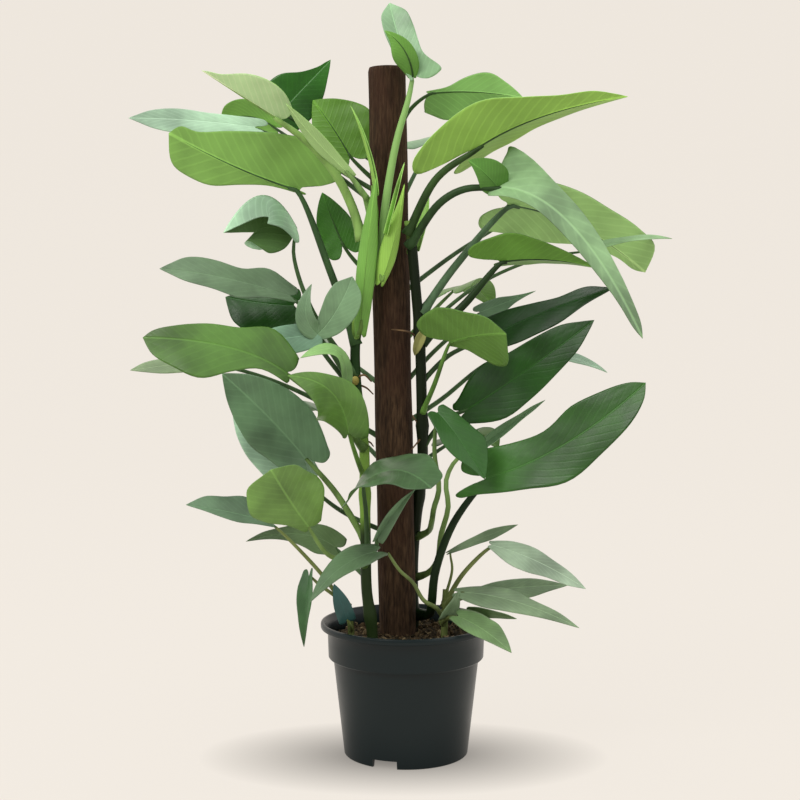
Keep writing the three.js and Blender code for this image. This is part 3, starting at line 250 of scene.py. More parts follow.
    named("leaf_rear_low_left", "silver", [-15, 31, 310], [[-55, 82, 345]], [-95, 112, 376], [-122, 152, 378],
        [-150, 182, 354], [-0.1, 0.5, 0.85], half=32),
    named("leaf_rear_low_right", "dark", [-14, 31, 290], [[20, 75, 318]], [58, 105, 342], [88, 148, 344],
        [114, 180, 322], [0.1, 0.5, 0.85], half=30),
    named("leaf_rear_centre", "silver", [-12, 31, 235], [[-18, 70, 270]], [-20, 98, 300], [-14, 142, 306],
        [-8, 178, 290], [0, 0.5, 0.85], half=28),
    named("sheath_left", "lime", [-54, -28, 464], [], [-49, -39, 471], [-42, -49, 552], [-32, -52, 634],
        [0.1, 0.95, 0], widths=[[8, 12, 13, 11, 6], [7, 11, 12, 11, 6]], lobe=0.04, fold=18, curl=35, rib=0.4,
        shown=(124, 170, 84)),
    named("sheath_right_back", "lime", [4, -29, 556], [], [12, -18, 560], [20, -12, 590], [24, -8, 624],
        [-0.6, -0.8, 0], half=9, lobe=0.05, fold=15, curl=40, rib=0.4),
]

LOW_SHOOTS = {
    "shoot_low_right": {
        "stem": {"radius": 4.2, "nodes": [],
            "route": [[42, -20, 100], [42, -20, 140], [43, -18, 170], [44, -14, 186]]},
        "runner": {"radius": 2.3,
            "route": [[42, -20, 152], [33, -38, 170], [19, -45, 180], [7, -46, 200], [-7, -46, 213],
                [-20, -44, 232]]},
        "leaves": [
            blade([41, -18, 167], [[63, -25, 206]], [93, -30, 238], [141, -38, 222], [195, -42, 192],
                [0.2, -0.8, 0.6], widths=[[5, 17, 18, 13, 10], [5, 12, 14, 10, 7]], lobe=0.03,
                shown=(148, 168, 142)),
            blade([42, -16, 174], [[51, -10, 207]], [48, -6, 226], [87, 0, 242], [125, 6, 255],
                [0.2, -0.8, 0.5], widths=[2, 4, 5, 6, 4], lobe=0.05, stalk=1.6),
            blade([42, -14, 170], [[63, 8, 172]], [84, 22, 176], [135, 30, 180], [184, 34, 181],
                [0, -0.75, 0.65], widths=[[8, 13, 15, 13, 7], [6, 10, 11, 10, 6]], lobe=0.06, stalk=2.7),
            blade([42, -18, 161], [[48, -32, 178]], [57, -40, 188], [117, -62, 182], [184, -78, 157],
                [0, -0.75, 0.65], widths=[[7, 16, 15, 11, 6], [5, 10, 13, 8, 6]], lobe=0.05, stalk=2.8),
            blade([41, -16, 157], [[58, -6, 158]], [71, -2, 159], [98, 2, 154], [124, 4, 149], [0, 0.7, 0.7],
                half=9, lobe=0.1, stalk=1.8),
            blade([40, -20, 151], [[47, -42, 160]], [56, -52, 164], [83, -82, 155], [110, -106, 137],
                [0.1, -0.75, 0.65], widths=[[9, 13, 13, 10, 6], [11, 16, 16, 15, 9]], lobe=0.1, stalk=2.7,
                shown=(112, 142, 92)),
            blade([40, -22, 149], [[41, -30, 154]], [43, -36, 159], [51, -44, 175], [56, -46, 190],
                [0.5, -0.8, 0.3], half=10, lobe=0.05, stalk=1.8, fold=20),
        ],
    },
    "shoot_low_left": {
        "stem": {"radius": 4, "nodes": [],
            "route": [[-60, -28, 100], [-60, -28, 135], [-62, -30, 160], [-66, -34, 176]]},
        "leaves": [
            blade([-61, -30, 162], [[-95, -46, 213]], [-143, -54, 265], [-186, -60, 278], [-235, -64, 287],
                [0, -0.8, 0.6], widths=[[6, 17, 22, 17, 13], [4, 7, 10, 8, 4]], lobe=0.04, stalk=2.2,
                shown=(86, 110, 84)),
            blade([-62, -32, 171], [[-93, -60, 200]], [-103, -76, 213], [-106, -88, 179], [-108, -92, 140],
                [-0.7, -0.7, 0.1], widths=[9, 12, 12, 9, 5], lobe=0.1, fold=25, stalk=2, shown=(52, 84, 46)),
            blade([-60, -28, 142], [[-60, -40, 150]], [-64, -48, 160], [-70, -52, 178], [-78, -54, 200],
                [0, -1, 0.2], half=10, lobe=0.1, stalk=2, shown=(46, 80, 76)),
        ],
    },
}

# Half widths from the joint to the tip, as shares of half, where a leaf gives no widths
EVEN_WIDTHS = [0.98, 0.97, 0.92, 0.74, 0.44]
# A lobe's outline, as shares of its length behind the joint and of the first half width
LOBE_OUTLINE = [(0, 0), (-0.1, 0.1), (-0.55, 0.22), (-0.95, 0.48), (-0.8, 0.82), (-0.2, 0.98)]
# The plant's sizes in millimetres, and how far a lobe drops as a share of the blade's length
POLE_FOOT = Vector((-7, 1, 20))
POLE_TOP = Vector((-21, 1, 757))
POLE_RADIUS = 20.5
LOBE_DROP = 0.5
STALK_RADIUS = 2.6
BLADE_THICKNESS = 0.7
# A blade is laid coarsely below the first half width, and has no raised midrib below the second
SMALL_BLADE = 17
SMALLEST_RIBBED = 12
SMALL_GRID, FULL_GRID = (36, 12), (52, 28)
RIB_STEPS = 60
VEIN_HEIGHT = 0.35
ROOT_RADIUS = 1.1
FULL_TURN = 2 * math.pi


def margin_point(points, t):
    """A point on the smooth margin through evenly spaced points, t from 0 to 1."""
    place = t * (len(points) - 1)
    i = min(int(place), len(points) - 2)
    w = place - i
    p0, p1, p2, p3 = (points[min(max(i + k, 0), len(points) - 1)] for k in (-1, 0, 1, 2))
    square = 2 * p0 - 5 * p1 + 4 * p2 - p3
    cube = 3 * p1 - p0 - 3 * p2 + p3
    return 0.5 * (2 * p1 + (p2 - p0) * w + square * w**2 + cube * w**3)


def bend_point(p0, p1, p2, p3, w):
    """A point between p1 and p2 on a smooth route through four unevenly spaced stops."""
    d0, d1, d2 = (max((b - a).length, 1e-4) ** 0.5 for a, b in ((p0, p1), (p1, p2), (p2, p3)))
    m1 = ((p1 - p0) / d0 - (p2 - p0) / (d0 + d1) + (p2 - p1) / d1) * d1
    m2 = ((p2 - p1) / d1 - (p3 - p1) / (d1 + d2) + (p3 - p2) / d2) * d1
    a = 2 * (p1 - p2) + m1 + m2
    b = -3 * p1 + 3 * p2 - 2 * m1 - m2
    return a * w**3 + b * w**2 + m1 * w + p1


def even_route(route, count):
    """Evenly spaced points along a smooth route through its stops."""
    stops = [Vector(p) for p in route]
    stops = [2 * stops[0] - stops[1]] + stops + [2 * stops[-1] - stops[-2]]
    fine = [bend_point(*stops[i:i + 4], k / 12) for i in range(len(stops) - 3) for k in range(12)]
    fine.append(stops[-2])
    lengths = [0.0]
    for a, b in zip(fine, fine[1:]):
        lengths.append(lengths[-1] + (b - a).length)
    found, j = [], 0
    for k in range(count + 1):
        goal = lengths[-1] * k / count
        while j < len(fine) - 2 and lengths[j + 1] < goal:
            j += 1
        share = (goal - lengths[j]) / max(lengths[j + 1] - lengths[j], 1e-9)
        found.append(fine[j].lerp(fine[j + 1], min(1, share)))
    return found


def lay_grid(name, columns, rows, place, uv=None, tube=False):
    """A grid of faces laid over a surface: place(u, v) gives a point in mm for u, v from 0 to 1."""
    bpy.ops.object.select_all(action="DESELECT")
    bpy.ops.mesh.primitive_grid_add(x_subdivisions=columns, y_subdivisions=rows, size=2)
    piece = bpy.context.object
    piece.name = name
    mesh = piece.data
    flat = [((v.co.x + 1) / 2, (v.co.y + 1) / 2) for v in mesh.vertices]
    for vertex, (u, v) in zip(mesh.vertices, flat):
        vertex.co = place(u, v) * MM
    layer = mesh.uv_layers.active.data
    for loop in mesh.loops:
        u, v = flat[loop.vertex_index]
        layer[loop.index].uv = uv(u, v) if uv else (u, v)
    if tube:
        bpy.ops.object.mode_set(mode="EDIT")
        bpy.ops.mesh.select_all(action="SELECT")
        bpy.ops.mesh.remove_doubles(threshold=1e-6)
        bpy.ops.mesh.select_all(action="DESELECT")
        bpy.ops.mesh.select_non_manifold(extend=False)
        bpy.ops.mesh.fill_holes(sides=0)
        bpy.ops.mesh.select_all(action="SELECT")
        bpy.ops.mesh.normals_make_consistent(inside=False)
        bpy.ops.object.mode_set(mode="OBJECT")
    bpy.ops.object.shade_smooth()
    return piece


def lay_tube(name, points, radius, sides, look):
    """A tube along points, its radius a function of the share of its length."""
    count = len(points) - 1
    tangents = [(points[min(k + 1, count)] - points[max(k - 1, 0)]).normalized() for k in range(count + 1)]
    side = tangents[0].orthogonal().normalized()
    frames = []
    for tangent in tangents:
        side = (side - tangent * side.dot(tangent)).normalized()
        frames.append((side.copy(), tangent.cross(side)))

    def place(u, v):
        k = round(u * count)
        turn = FULL_TURN * v
        reach = radius(min(u, 1), turn)
        return points[k] + (frames[k][0] * math.cos(turn) + frames[k][1] * math.sin(turn)) * reach

    piece = lay_grid(name, count, sides, place, tube=True)
    piece.data.materials.append(look)
    return piece


def pick(pieces):
    """Selects these pieces and no others."""
    bpy.ops.object.select_all(action="DESELECT")
    for piece in pieces:
        piece.select_set(True)
    bpy.context.view_layer.objects.active = pieces[0]


def join(name, pieces):
    """Joins pieces into one, under a name."""
    pick(pieces)
    if len(pieces) > 1:
        bpy.ops.object.join()
    pieces[0].name = name
    return pieces[0]


def settle(piece, node):
    """The piece stands for its CAD node and rides on the plant's one body."""
    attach(piece, "root")
    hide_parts(node)


class Term:
    """A value in a look, so that what it gives is written as a sum."""

    def __init__(self, look, socket):
        self.look = look
        self.socket = socket

    def math(self, operation, other=None, turned=False):
        values = [other, self] if turned else [self, other]
        return self.look.add("ShaderNodeMath", {"operation": operation}, values)

    def __add__(self, other):
        return self.math("ADD", other)

    __radd__ = __add__

    def __sub__(self, other):
        return self.math("SUBTRACT", other)

    def __rsub__(self, other):
        return self.math("SUBTRACT", other, turned=True)

    def __mul__(self, other):
        return self.math("MULTIPLY", other)

    __rmul__ = __mul__

    def __truediv__(self, other):
        return self.math("DIVIDE", other)

    def __rtruediv__(self, other):
        return self.math("DIVIDE", other, turned=True)

    def __pow__(self, other):
        return self.math("POWER", other)

    def band(self, low, high):
        """0 below low, 1 above high, smooth between."""
        smooth = {"interpolation_type": "SMOOTHSTEP"}
        return self.look.add("ShaderNodeMapRange", smooth, [self, low, high, 0.0, 1.0])


def linear(color):
    """A colour picked as 0 to 255 on screen, as light."""
    return tuple(((c / 255 + 0.055) / 1.055) ** 2.4 if c > 10 else c / 255 / 12.92 for c in color) + (1.0,)


class Look:
    """A material built from one Principled surface."""

    def __init__(self, name, roughness=0.5, **constants):
        self.material = bpy.data.materials.new(name)
        self.material.use_nodes = True
        self.tree = self.material.node_tree
        self.surface = next(n for n in self.tree.nodes if n.type == "BSDF_PRINCIPLED")
        self.surface.inputs["Roughness"].default_value = roughness
        for socket, value in constants.items():
            self.surface.inputs[socket.replace("_", " ")].default_value = value

    def add(self, kind, settings=None, values=(), output=0):
        """One node of a kind, with its settings first and then the values or links of its sockets."""
        node = self.tree.nodes.new(kind)
        for key, value in (settings or {}).items():
            setattr(node, key, value)
        inputs = values.items() if isinstance(values, dict) else enumerate(values)
        for key, value in inputs:
            if value is None:
                continue
            if isinstance(value, Term):
                self.tree.links.new(value.socket, node.inputs[key])
            else:
                node.inputs[key].default_value = value
        return Term(self, node.outputs[output])

    def mix(self, share, first, second):
        return self.add("ShaderNodeMix", {"data_type": "RGBA"}, {0: share, 6: first, 7: second}, output=2)

    def noise(self, scale, detail=3.0, stretch=(1, 1, 1)):
        place = self.add("ShaderNodeTexCoord", output=3)
        placed = self.add("ShaderNodeMapping", None, {0: place, 3: stretch})
        return self.add("ShaderNodeTexNoise", None, {"Vector": placed, "Scale": scale, "Detail": detail})

    def spot(self):
        """The place on the piece in metres: x, y and z."""
        parts = self.tree.nodes.new("ShaderNodeSeparateXYZ")
        self.tree.links.new(self.add("ShaderNodeTexCoord", output=3).socket, parts.inputs[0])
        return [Term(self, output) for output in parts.outputs]

    def flat(self):
        """Along and across, as laid on the piece."""
        parts = self.tree.nodes.new("ShaderNodeSeparateXYZ")
        place = self.add("ShaderNodeUVMap")
        self.tree.links.new(place.socket, parts.inputs[0])
        return Term(self, parts.outputs[0]), Term(self, parts.outputs[1])

    def set(self, socket, term):
        self.tree.links.new(term.socket, self.surface.inputs[socket])

    def relief(self, height, depth, distance=0.0005):
        bump = self.add("ShaderNodeBump", None, {"Strength": depth, "Distance": distance, "Height": height})
        self.set("Normal", bump)


# Each tone of leaf: upper side, under side and stalk
TONES = {
    "lime": ((150, 190, 104), (150, 190, 90), (120, 156, 76)),
    "young": ((130, 164, 124), (112, 158, 80), (140, 180, 104)),
    "green": ((88, 120, 66), (108, 146, 72), (64, 94, 48)),
    "green_top": ((98, 128, 70), (104, 142, 72), (88, 120, 58)),
    "silver": ((104, 132, 98), (78, 112, 58), (70, 98, 58)),
    "dark": ((50, 78, 42), (80, 114, 58), (52, 78, 40)),
    "shoot": ((118, 140, 106), (92, 122, 72), (120, 132, 76)),
}
# Tones that the studio's pale sheen would wash out
DEEP_TONES = ("lime", "green", "green_top", "dark")


def shade_of(color, factor):
    """A colour made darker or paler."""
    return tuple(min(255, c * factor) for c in color)


def blade_relief(look):
    """Where the veins, the midrib and the cloudy patches of a blade lie."""
    along, across = look.flat()
    reach = (across - 0.5).math("ABSOLUTE") * 2
    wander = look.noise(30) * 0.5
    vein = ((along * 11 - reach * 4.5 + wander).math("FRACT") - 0.5).math("ABSOLUTE") * 2
    patch = look.noise(19) * 0.55 + look.noise(8, 2) * 0.45
    return reach, vein.band(0.6, 1.0), patch, look.noise(150, 4)


def rich(color):
    """A deeper green, most of all for a dark one, against the pale sheen that the studio adds."""
    depth = 1 - color[1] / 255
    return tuple(max(4, c - part * depth) for c, part in zip(color, (14, 3, 24)))


def leaf_upper(name, color):
    """The upper side: cloudy silver patches over a deeper ground, with pale veins and midrib."""
    look = Look("upper_" + name, 0.34, Specular_IOR_Level=0.32)
    pale, ground, rib = (linear(shade_of(color, factor)) for factor in (1.24, 0.8, 1.4))
    reach, vein, cloud, fine = blade_relief(look)
    midrib = 1 - reach.band(0.01, 0.04)
    share = cloud.band(0.34, 0.64) * 0.85 + vein * 0.12 + reach.band(0.5, 1.0) * 0.12
    share = share * (0.75 + fine * 0.4)
    look.set("Base Color", look.mix(midrib * 0.4, look.mix(share.math("MINIMUM", 1.0), ground, pale), rib))
    look.set("Roughness", 0.24 + cloud * 0.2)
    look.relief(fine * 0.15 - vein * 0.14 - midrib * 0.8 + cloud * 1.4, 0.5, 0.0008)
    return look.material


def leaf_under(name, color):
    """The duller under side, with its veins raised."""
    look = Look("under_" + name, 0.44, Specular_IOR_Level=0.22)
    dark, rib = linear(shade_of(color, 0.84)), linear(shade_of(color, 1.3))
    reach, vein, cloud, fine = blade_relief(look)
    midrib = 1 - reach.band(0.015, 0.05)
    shade = look.mix(cloud.band(0.3, 0.7) * 0.8, linear(shade_of(color, 1.06)), dark)
    look.set("Base Color", look.mix(midrib * 0.5 + vein * 0.14, shade, rib))
    look.relief(vein * 0.5 + midrib + cloud * 0.8 + fine * 0.1, 0.4, 0.0006)
    return look.material


def stalk_look(name, color, dark):
    """A green skin with long darker streaks."""
    look = Look(name, 0.46, Specular_IOR_Level=0.14)
    streak = look.noise(60, 3, (1, 1, 0.25))
    look.set("Base Color", look.mix(streak.band(0.35, 0.75), linear(color), linear(dark)))
    look.relief(streak, 0.2)
    return look.material


def leaf_looks(name, leaf, tone):
    """Upper side, under side and stalk of one leaf: one that faces away shows its under side."""
    upper, under, stalk = TONES[tone]
    # The colour shown for the seen side has painted light and shade in it, as each leaf is lit
    if leaf["face"][1] > 0.2:
        under = leaf.get("shown", under)
    else:
        upper = leaf.get("shown", upper)
    if tone in DEEP_TONES:
        upper, under = rich(upper), rich(under)
    age = 0.95 + 0.1 * random.random()
    upper, under = shade_of(upper, age), shade_of(under, age)
    # A stalk's given colour is darker where that stalk lies in shade: painted shade
    stalk = leaf.get("stalk_color", stalk)
    stalk = stalk_look("stalk_" + name, stalk, shade_of(stalk, 0.7))
    return [leaf_upper(name, upper), leaf_under(name, under), stalk]


def hand_value(value, hand):
    """A value for one side of a blade, where it gives two."""
    return value[hand] if isinstance(value, list) else value


class Sheet:
    """The curved sheet of a blade: a flat place on it (along, across) becomes a point in space."""

    def __init__(self, leaf):
        self.leaf = leaf
        self.joint, middle, self.tip = (Vector(leaf[key]) for key in ("joint", "middle", "tip"))
        self.control = 2 * middle - (self.joint + self.tip) / 2
        self.face = Vector(leaf["face"]).normalized()
        widths = leaf.get("widths") or [share * leaf["half"] for share in EVEN_WIDTHS]
        self.widths = widths if isinstance(widths[0], list) else [widths, widths]
        self.widest = max(self.widths[0] + self.widths[1])
        self.steps = [self.rib_point(k / RIB_STEPS) for k in range(RIB_STEPS + 1)]
        self.lengths = [0.0]
        for a, b in zip(self.steps, self.steps[1:]):
            self.lengths.append(self.lengths[-1] + (b - a).length)
        self.length = self.lengths[-1]
        self.margins = [self.margin(0), self.margin(1)]

    def rib_point(self, t):
        return self.joint * (1 - t) ** 2 + self.control * 2 * t * (1 - t) + self.tip * t * t

    def rib_at(self, along):
        """The midrib's point and direction at a share of its length."""
        goal = min(max(along, 0), 1) * self.length
        j = 0
        while j < RIB_STEPS - 1 and self.lengths[j + 1] < goal:
            j += 1
        t = (j + (goal - self.lengths[j]) / max(self.lengths[j + 1] - self.lengths[j], 1e-9)) / RIB_STEPS
        direction = 2 * (1 - t) * (self.control - self.joint) + 2 * t * (self.tip - self.control)
        return self.rib_point(t), direction.normalized()

    def margin(self, hand):
        """The margin of one side as flat points, from the joint round the lobe to the tip."""
        widths = self.widths[hand]
        lobe = hand_value(self.leaf.get("lobe", 0.2), hand)
        places = [(along * lobe, across * widths[0]) for along, across in LOBE_OUTLINE]
        places += [((i + 1) / 5, width) for i, width in enumerate(widths[1:])]
        places += [(0.93, widths[4] * self.leaf.get("blunt", 0.4)), (1, 0)]
        return [Vector(place) for place in places]

    def frame_at(self, along):
        """The midrib's point, the way to the first side's margin and the way that the upper side looks."""
        centre, tangent = self.rib_at(along)
        side = tangent.cross(self.face).normalized()
        normal = side.cross(tangent).normalized()
        if along < 0:
            centre = centre + tangent * along * self.length
        return centre, side, normal

    def point_at(self, along, across):
        """A point in space, folded along the midrib, curled and waved towards the margin."""
        centre, side, normal = self.frame_at(along)
        leaf = self.leaf
        hand = 1 if across < 0 else 0
        wide = abs(across)
        reach = wide / self.widest
        fold = math.radians(hand_value(leaf.get("fold", 8), hand))
        curl = math.radians(hand_value(leaf.get("curl", -12), hand)) * reach
        bend = curl if abs(curl) > 1e-4 else 1e-4
        out = wide * (math.sin(fold + bend) - math.sin(fold)) / bend
        rise = wide * (math.cos(fold) - math.cos(fold + bend)) / bend
        phase = 2 * hand
        rise += leaf.get("wave", 0.06) * self.widest * reach * reach * math.sin(9 * along + phase)
        rise += 0.012 * self.widest * reach * math.sin(23 * along + 5 * reach + phase)
        if along < 0:
            rise -= LOBE_DROP * self.length * along * along
        return centre + side * math.copysign(out, across) + normal * rise


def lay_blade(name, sheet, looks):
    """The blade: a grid over its sheet, with fine raised veins, given its thickness."""
    small = sheet.widest < SMALL_BLADE
    columns, rows = SMALL_GRID if small else FULL_GRID

    def flat_place(u, v):
        across = 1 - 2 * v
        hand = 0 if across > 0 else 1
        edge = margin_point(sheet.margins[hand], u)
        reach = abs(across)
        start = u ** 1.5
        return start + (edge.x - start) * reach, math.copysign(max(edge.y, 0) * reach, across)

    def place(u, v):
        along, across = flat_place(u, v)
        point = sheet.point_at(along, across)
        reach = abs(across) / sheet.widest
        if not small:
            vein = abs(((along * 13 - reach * 4.5) % 1) - 0.5) * 2
            ridge = max(0, (vein - 0.7) / 0.3) ** 2
            _, _, normal = sheet.frame_at(along)
            point = point - normal * VEIN_HEIGHT * ridge * min(1, reach * 6) * max(0, 1 - reach)
        return point

    def flat(u, v):
        along, across = flat_place(u, v)
        return along, 0.5 + across / sheet.widest / 2

    blade = lay_grid(name, columns, rows, place, uv=flat)
    blade.data.materials.append(looks[0])
    blade.data.materials.append(looks[1])
    bpy.ops.object.mode_set(mode="EDIT")
    bpy.ops.mesh.select_all(action="SELECT")
    bpy.ops.mesh.remove_doubles(threshold=1e-6)
    bpy.ops.object.mode_set(mode="OBJECT")
    # The faces look the way the upper side does
    middle_face = min(blade.data.polygons, key=lambda f: (f.center / MM - sheet.rib_at(0.4)[0]).length)
    if middle_face.normal.dot(sheet.frame_at(0.4)[2]) < 0:
        blade.data.flip_normals()
    skin = blade.modifiers.new("skin", "SOLIDIFY")
    skin.thickness = BLADE_THICKNESS * MM
    skin.offset = 0
    skin.material_offset = 1
    skin.material_offset_rim = 0
    bpy.ops.object.modifier_apply(modifier="skin")
    return blade


def lay_rib(name, leaf, sheet, looks):
    """The midrib under the blade, thinning to the tip."""
    points = []
    for k in range(25):
        centre, _, normal = sheet.frame_at(k / 25)
        points.append(centre - normal * 0.9 * (1 - k / 25))
    size = leaf.get("rib", 1.3) * 0.8
    return lay_tube(name, points, lambda u, turn: size * (1 - 0.85 * u), 8, looks[2])


def lay_stalk(name, leaf, sheet, looks):
    """The round stalk, from inside its stem to the start of the midrib."""
    radius = leaf.get("stalk", STALK_RADIUS)
    under = [sheet.frame_at(along) for along in (0.02, 0.08)]
    route = [leaf["root"], *leaf["via"], *(centre - normal * radius * 0.55 for centre, _, normal in under)]
    points = even_route(route, 22)

    def thick(u, turn):
        return radius * (1.15 - 0.35 * u - 0.35 * u**6) * (1 + 0.5 * math.exp(-(u / 0.06) ** 2))

    return lay_tube(name, points, thick, 12, looks[2])


def grow_leaf(leaf, tone, name):
    """The pieces of one leaf and of what is grown with it."""
    sheet = Sheet(leaf)
    looks = leaf_looks(name, leaf, tone)
    pieces = [lay_blade(name, sheet, looks)]
    if leaf.get("stalk", STALK_RADIUS) > 0:
        pieces.append(lay_stalk(name + "_stalk", leaf, sheet, looks))
    if sheet.widest >= SMALLEST_RIBBED:
        pieces.append(lay_rib(name + "_rib", leaf, sheet, looks))
    for i, wing in enumerate(leaf.get("wings", [])):
        pieces += grow_leaf(wing, wing.get("tone", tone), f"{name}_wing{i}")
    return pieces


for leaf in LEAVES:
    piece = join("fine_" + leaf["name"], grow_leaf(leaf, leaf["tone"], leaf["name"]))
    settle(piece, leaf["name"])


def stem_look_at(name, bands):
    """A stem that changes colour with its height: bands of (height in metres, colour)."""
    look = Look(name, 0.46, Specular_IOR_Level=0.14)
    height = look.spot()[2] + (look.noise(25) - 0.5) * 0.02
    shade = linear(bands[0][1])
    for level, color in bands[1:]:
        shade = look.mix(height.band(level - 0.012, level + 0.012), shade, linear(color))
    streak = look.noise(60, 3, (1, 1, 0.25))
    look.set("Base Color", look.mix(streak.band(0.4, 0.8) * 0.5, shade, linear((14, 24, 10))))
    look.relief(streak, 0.2)
    return look.material


# stem_right's near-black lower colour is its dark green with painted shade
STEM_BANDS = {
    "stem_left": [(0, (40, 56, 26)), (0.262, (112, 146, 60)), (0.35, (84, 116, 46)), (0.4, (34, 60, 26)),
                  (0.475, (134, 172, 78))],
    "stem_right": [(0, (22, 32, 14)), (0.575, (134, 172, 78))],
    "stem_back": [(0, (30, 52, 22))],
}
stem_looks = {name: stem_look_at(name + "_green", bands) for name, bands in STEM_BANDS.items()}
shoot_stem = stalk_look("shoot_stem", (116, 128, 72), (72, 80, 44))
runner_look = stalk_look("runner_green", (112, 128, 74), (78, 86, 50))
scale_look = stalk_look("scale_tan", (150, 150, 92), (104, 100, 58))
bud_look = stalk_look("bud_yellow", (176, 162, 84), (120, 112, 56))
root_look = stalk_look("root_brown", (118, 92, 62), (70, 52, 36))

# Small pieces at the nodes: a papery scale, laid as a blade, and the place and size of a bud
DRY_SCALE = {"joint": [20, -35, 472], "middle": [14, -37, 460], "tip": [9, -34, 445], "face": [0, -1, 0.2],
             "widths": [3, 6, 7, 6, 4], "lobe": 0.05, "fold": 30, "curl": 20}
BUD_PLACE = Vector((-55, -35, 418)) * MM
BUD_SIZE = Vector((4.2, 3.4, 5)) * MM


def lay_bud(look):
    """The rounded bud at a node."""
    bpy.ops.mesh.primitive_uv_sphere_add(segments=24, ring_count=14, radius=1, location=BUD_PLACE)
    bud = bpy.context.object
    bud.scale = BUD_SIZE
    bpy.ops.object.transform_apply(location=True, rotation=True, scale=True)
    bpy.ops.object.shade_smooth()
    bud.data.materials.append(look)
    return bud


def lay_stem(name, stem, look):
    """A stem that thins upwards, swollen and ringed at its nodes."""
    points = even_route(stem["route"], 110)

    def thick(u, turn):
        swell = sum(math.exp(-((u - node) / 0.02) ** 2) for node in stem["nodes"])
        ring = sum(math.exp(-((u - node) / 0.004) ** 2) for node in stem["nodes"])
        uneven = 0.05 * ring + 0.02 * math.sin(3 * turn + 9 * u)
        return stem["radius"] * ((1 - 0.18 * u) * (1 + 0.22 * swell) + uneven)

    return lay_tube(name, points, thick, 20, look)


def tapering(radius, loss):
    """A radius that loses a share of itself along its length."""
    return lambda u, turn: radius * (1.2 - loss * u)


for name, stem in STEMS.items():
    pieces = [lay_stem(name + "_stalk", stem, stem_looks[name])]
    for i, route in enumerate(AERIAL_ROOTS.get(name, [])):
        points = even_route(route, 14)
        pieces.append(lay_tube(f"{name}_root{i}", points, tapering(ROOT_RADIUS, 0.6), 8, root_look))
    if name == "stem_right":
        pieces.append(lay_blade("dry_scale", Sheet(DRY_SCALE), [scale_look, scale_look]))
    if name == "stem_left":
        pieces.append(lay_bud(bud_look))
    settle(join("fine_" + name, pieces), name)

for name, shoot in LOW_SHOOTS.items():
    pieces = [lay_stem(name + "_stalk", shoot["stem"], shoot_stem)]
    if "runner" in shoot:
        runner = shoot["runner"]
        points = even_route(runner["route"], 24)
        thick = tapering(runner["radius"], 0.5)
        pieces.append(lay_tube(name + "_runner", points, thick, 10, runner_look))
    for i, leaf in enumerate(shoot["leaves"]):
        pieces += grow_leaf(leaf, "shoot", f"{name}_leaf{i}")
    settle(join("fine_" + name, pieces), name)


def pole_look():
    """Coarse dark brown fibre that runs up the pole, with a few redder patches."""
    look = Look("pole_fibre", 0.95, Specular_IOR_Level=0.15)
    long_fibre = look.noise(480, 6, (1, 1, 0.14))
    strand = look.noise(130, 6, (1, 1, 0.16))
    patch = look.noise(16, 4, (1, 1, 0.5))
    dark = look.mix(long_fibre.band(0.3, 0.75), linear((46, 33, 23)), linear((84, 64, 46)))
    red = look.mix(patch.band(0.45, 0.62) * 0.6, dark, linear((58, 37, 27)))
    look.set("Base Color", look.mix(strand.band(0.5, 0.66) * 0.4, red, linear((30, 22, 15))))
    look.relief(long_fibre + strand * 1.5, 0.9, 0.002)
    return look.material


def lay_pole():
    """The pole, its skin rippled by its fibres and its top edge rounded off."""
    points = [POLE_FOOT.lerp(POLE_TOP, k / 160) for k in range(161)]
    ripple = [random.uniform(0, 6.28) for _ in range(8)]

    def thick(u, turn):
        waves = [(9 + 4 * i) * turn + start + 14 * math.sin(3 * u + i) for i, start in enumerate(ripple)]
        streak = sum(math.sin(wave) for wave in waves) / 8
        edge = 1 - 0.06 * max(0, (u - 0.994) / 0.006)
        return POLE_RADIUS * (1 + 0.012 * math.sin(31 * u) + 0.018 * streak) * edge

    return lay_tube("pole_core", points, thick, 96, pole_look())


settle(join("fine_pole", [lay_pole()]), "pole")


def pot_look():
    """Smooth dark plastic with a green cast."""
    look = Look("pot_plastic", 0.36, Specular_IOR_Level=0.28)
    cloud = look.noise(9)
    look.set("Base Color", look.mix(cloud, linear((8, 21, 22)), linear((13, 27, 29))))
    look.set("Roughness", 0.28 + look.noise(60) * 0.1)
    look.relief(look.noise(900, 2), 0.06, 0.0003)
    return look.material


def mix_look():
    """Damp fine bark."""
    look = Look("bark_mix", 0.95, Specular_IOR_Level=0.15)
    grain = look.noise(320, 6)
    look.set("Base Color", look.mix(grain.band(0.35, 0.7), linear((24, 20, 13)), linear((84, 70, 50))))
    look.relief(grain, 1.0, 0.003)
    return look.material


# Radius and height round the pot's wall: under the floor, up the outside, over the lip and down the inside
POT_PROFILE = [
    (0, 7), (61, 7), (63, 6), (64.2, 0.8), (65, 0), (68.2, 0), (69, 0.8), (75, 54), (80.9, 106.6),
    (81.6, 107.6), (85.6, 108.6), (86.4, 109.6), (86.9, 125), (87.3, 139), (88.2, 140.6), (93.4, 141),
    (94.6, 141.8), (95, 143.2), (95, 146), (94.4, 147.4), (93, 148), (91.4, 147.8), (88, 144), (85.7, 140),
    (85.2, 125), (84.7, 111), (79.6, 107), (73.2, 54), (67.2, 9.4), (66, 9), (0, 9),
]
NOTCH_TURNS = (-20, 100, 220)
NOTCH_SIZE = (28, 14, 18)
FOOT_RADIUS = 67
DRAIN_HOLES = 6
DRAIN_CIRCLE = 40
DRAIN_RADIUS = 6
DRAIN_HEIGHT = 8
DRAIN_DEPTH = 12


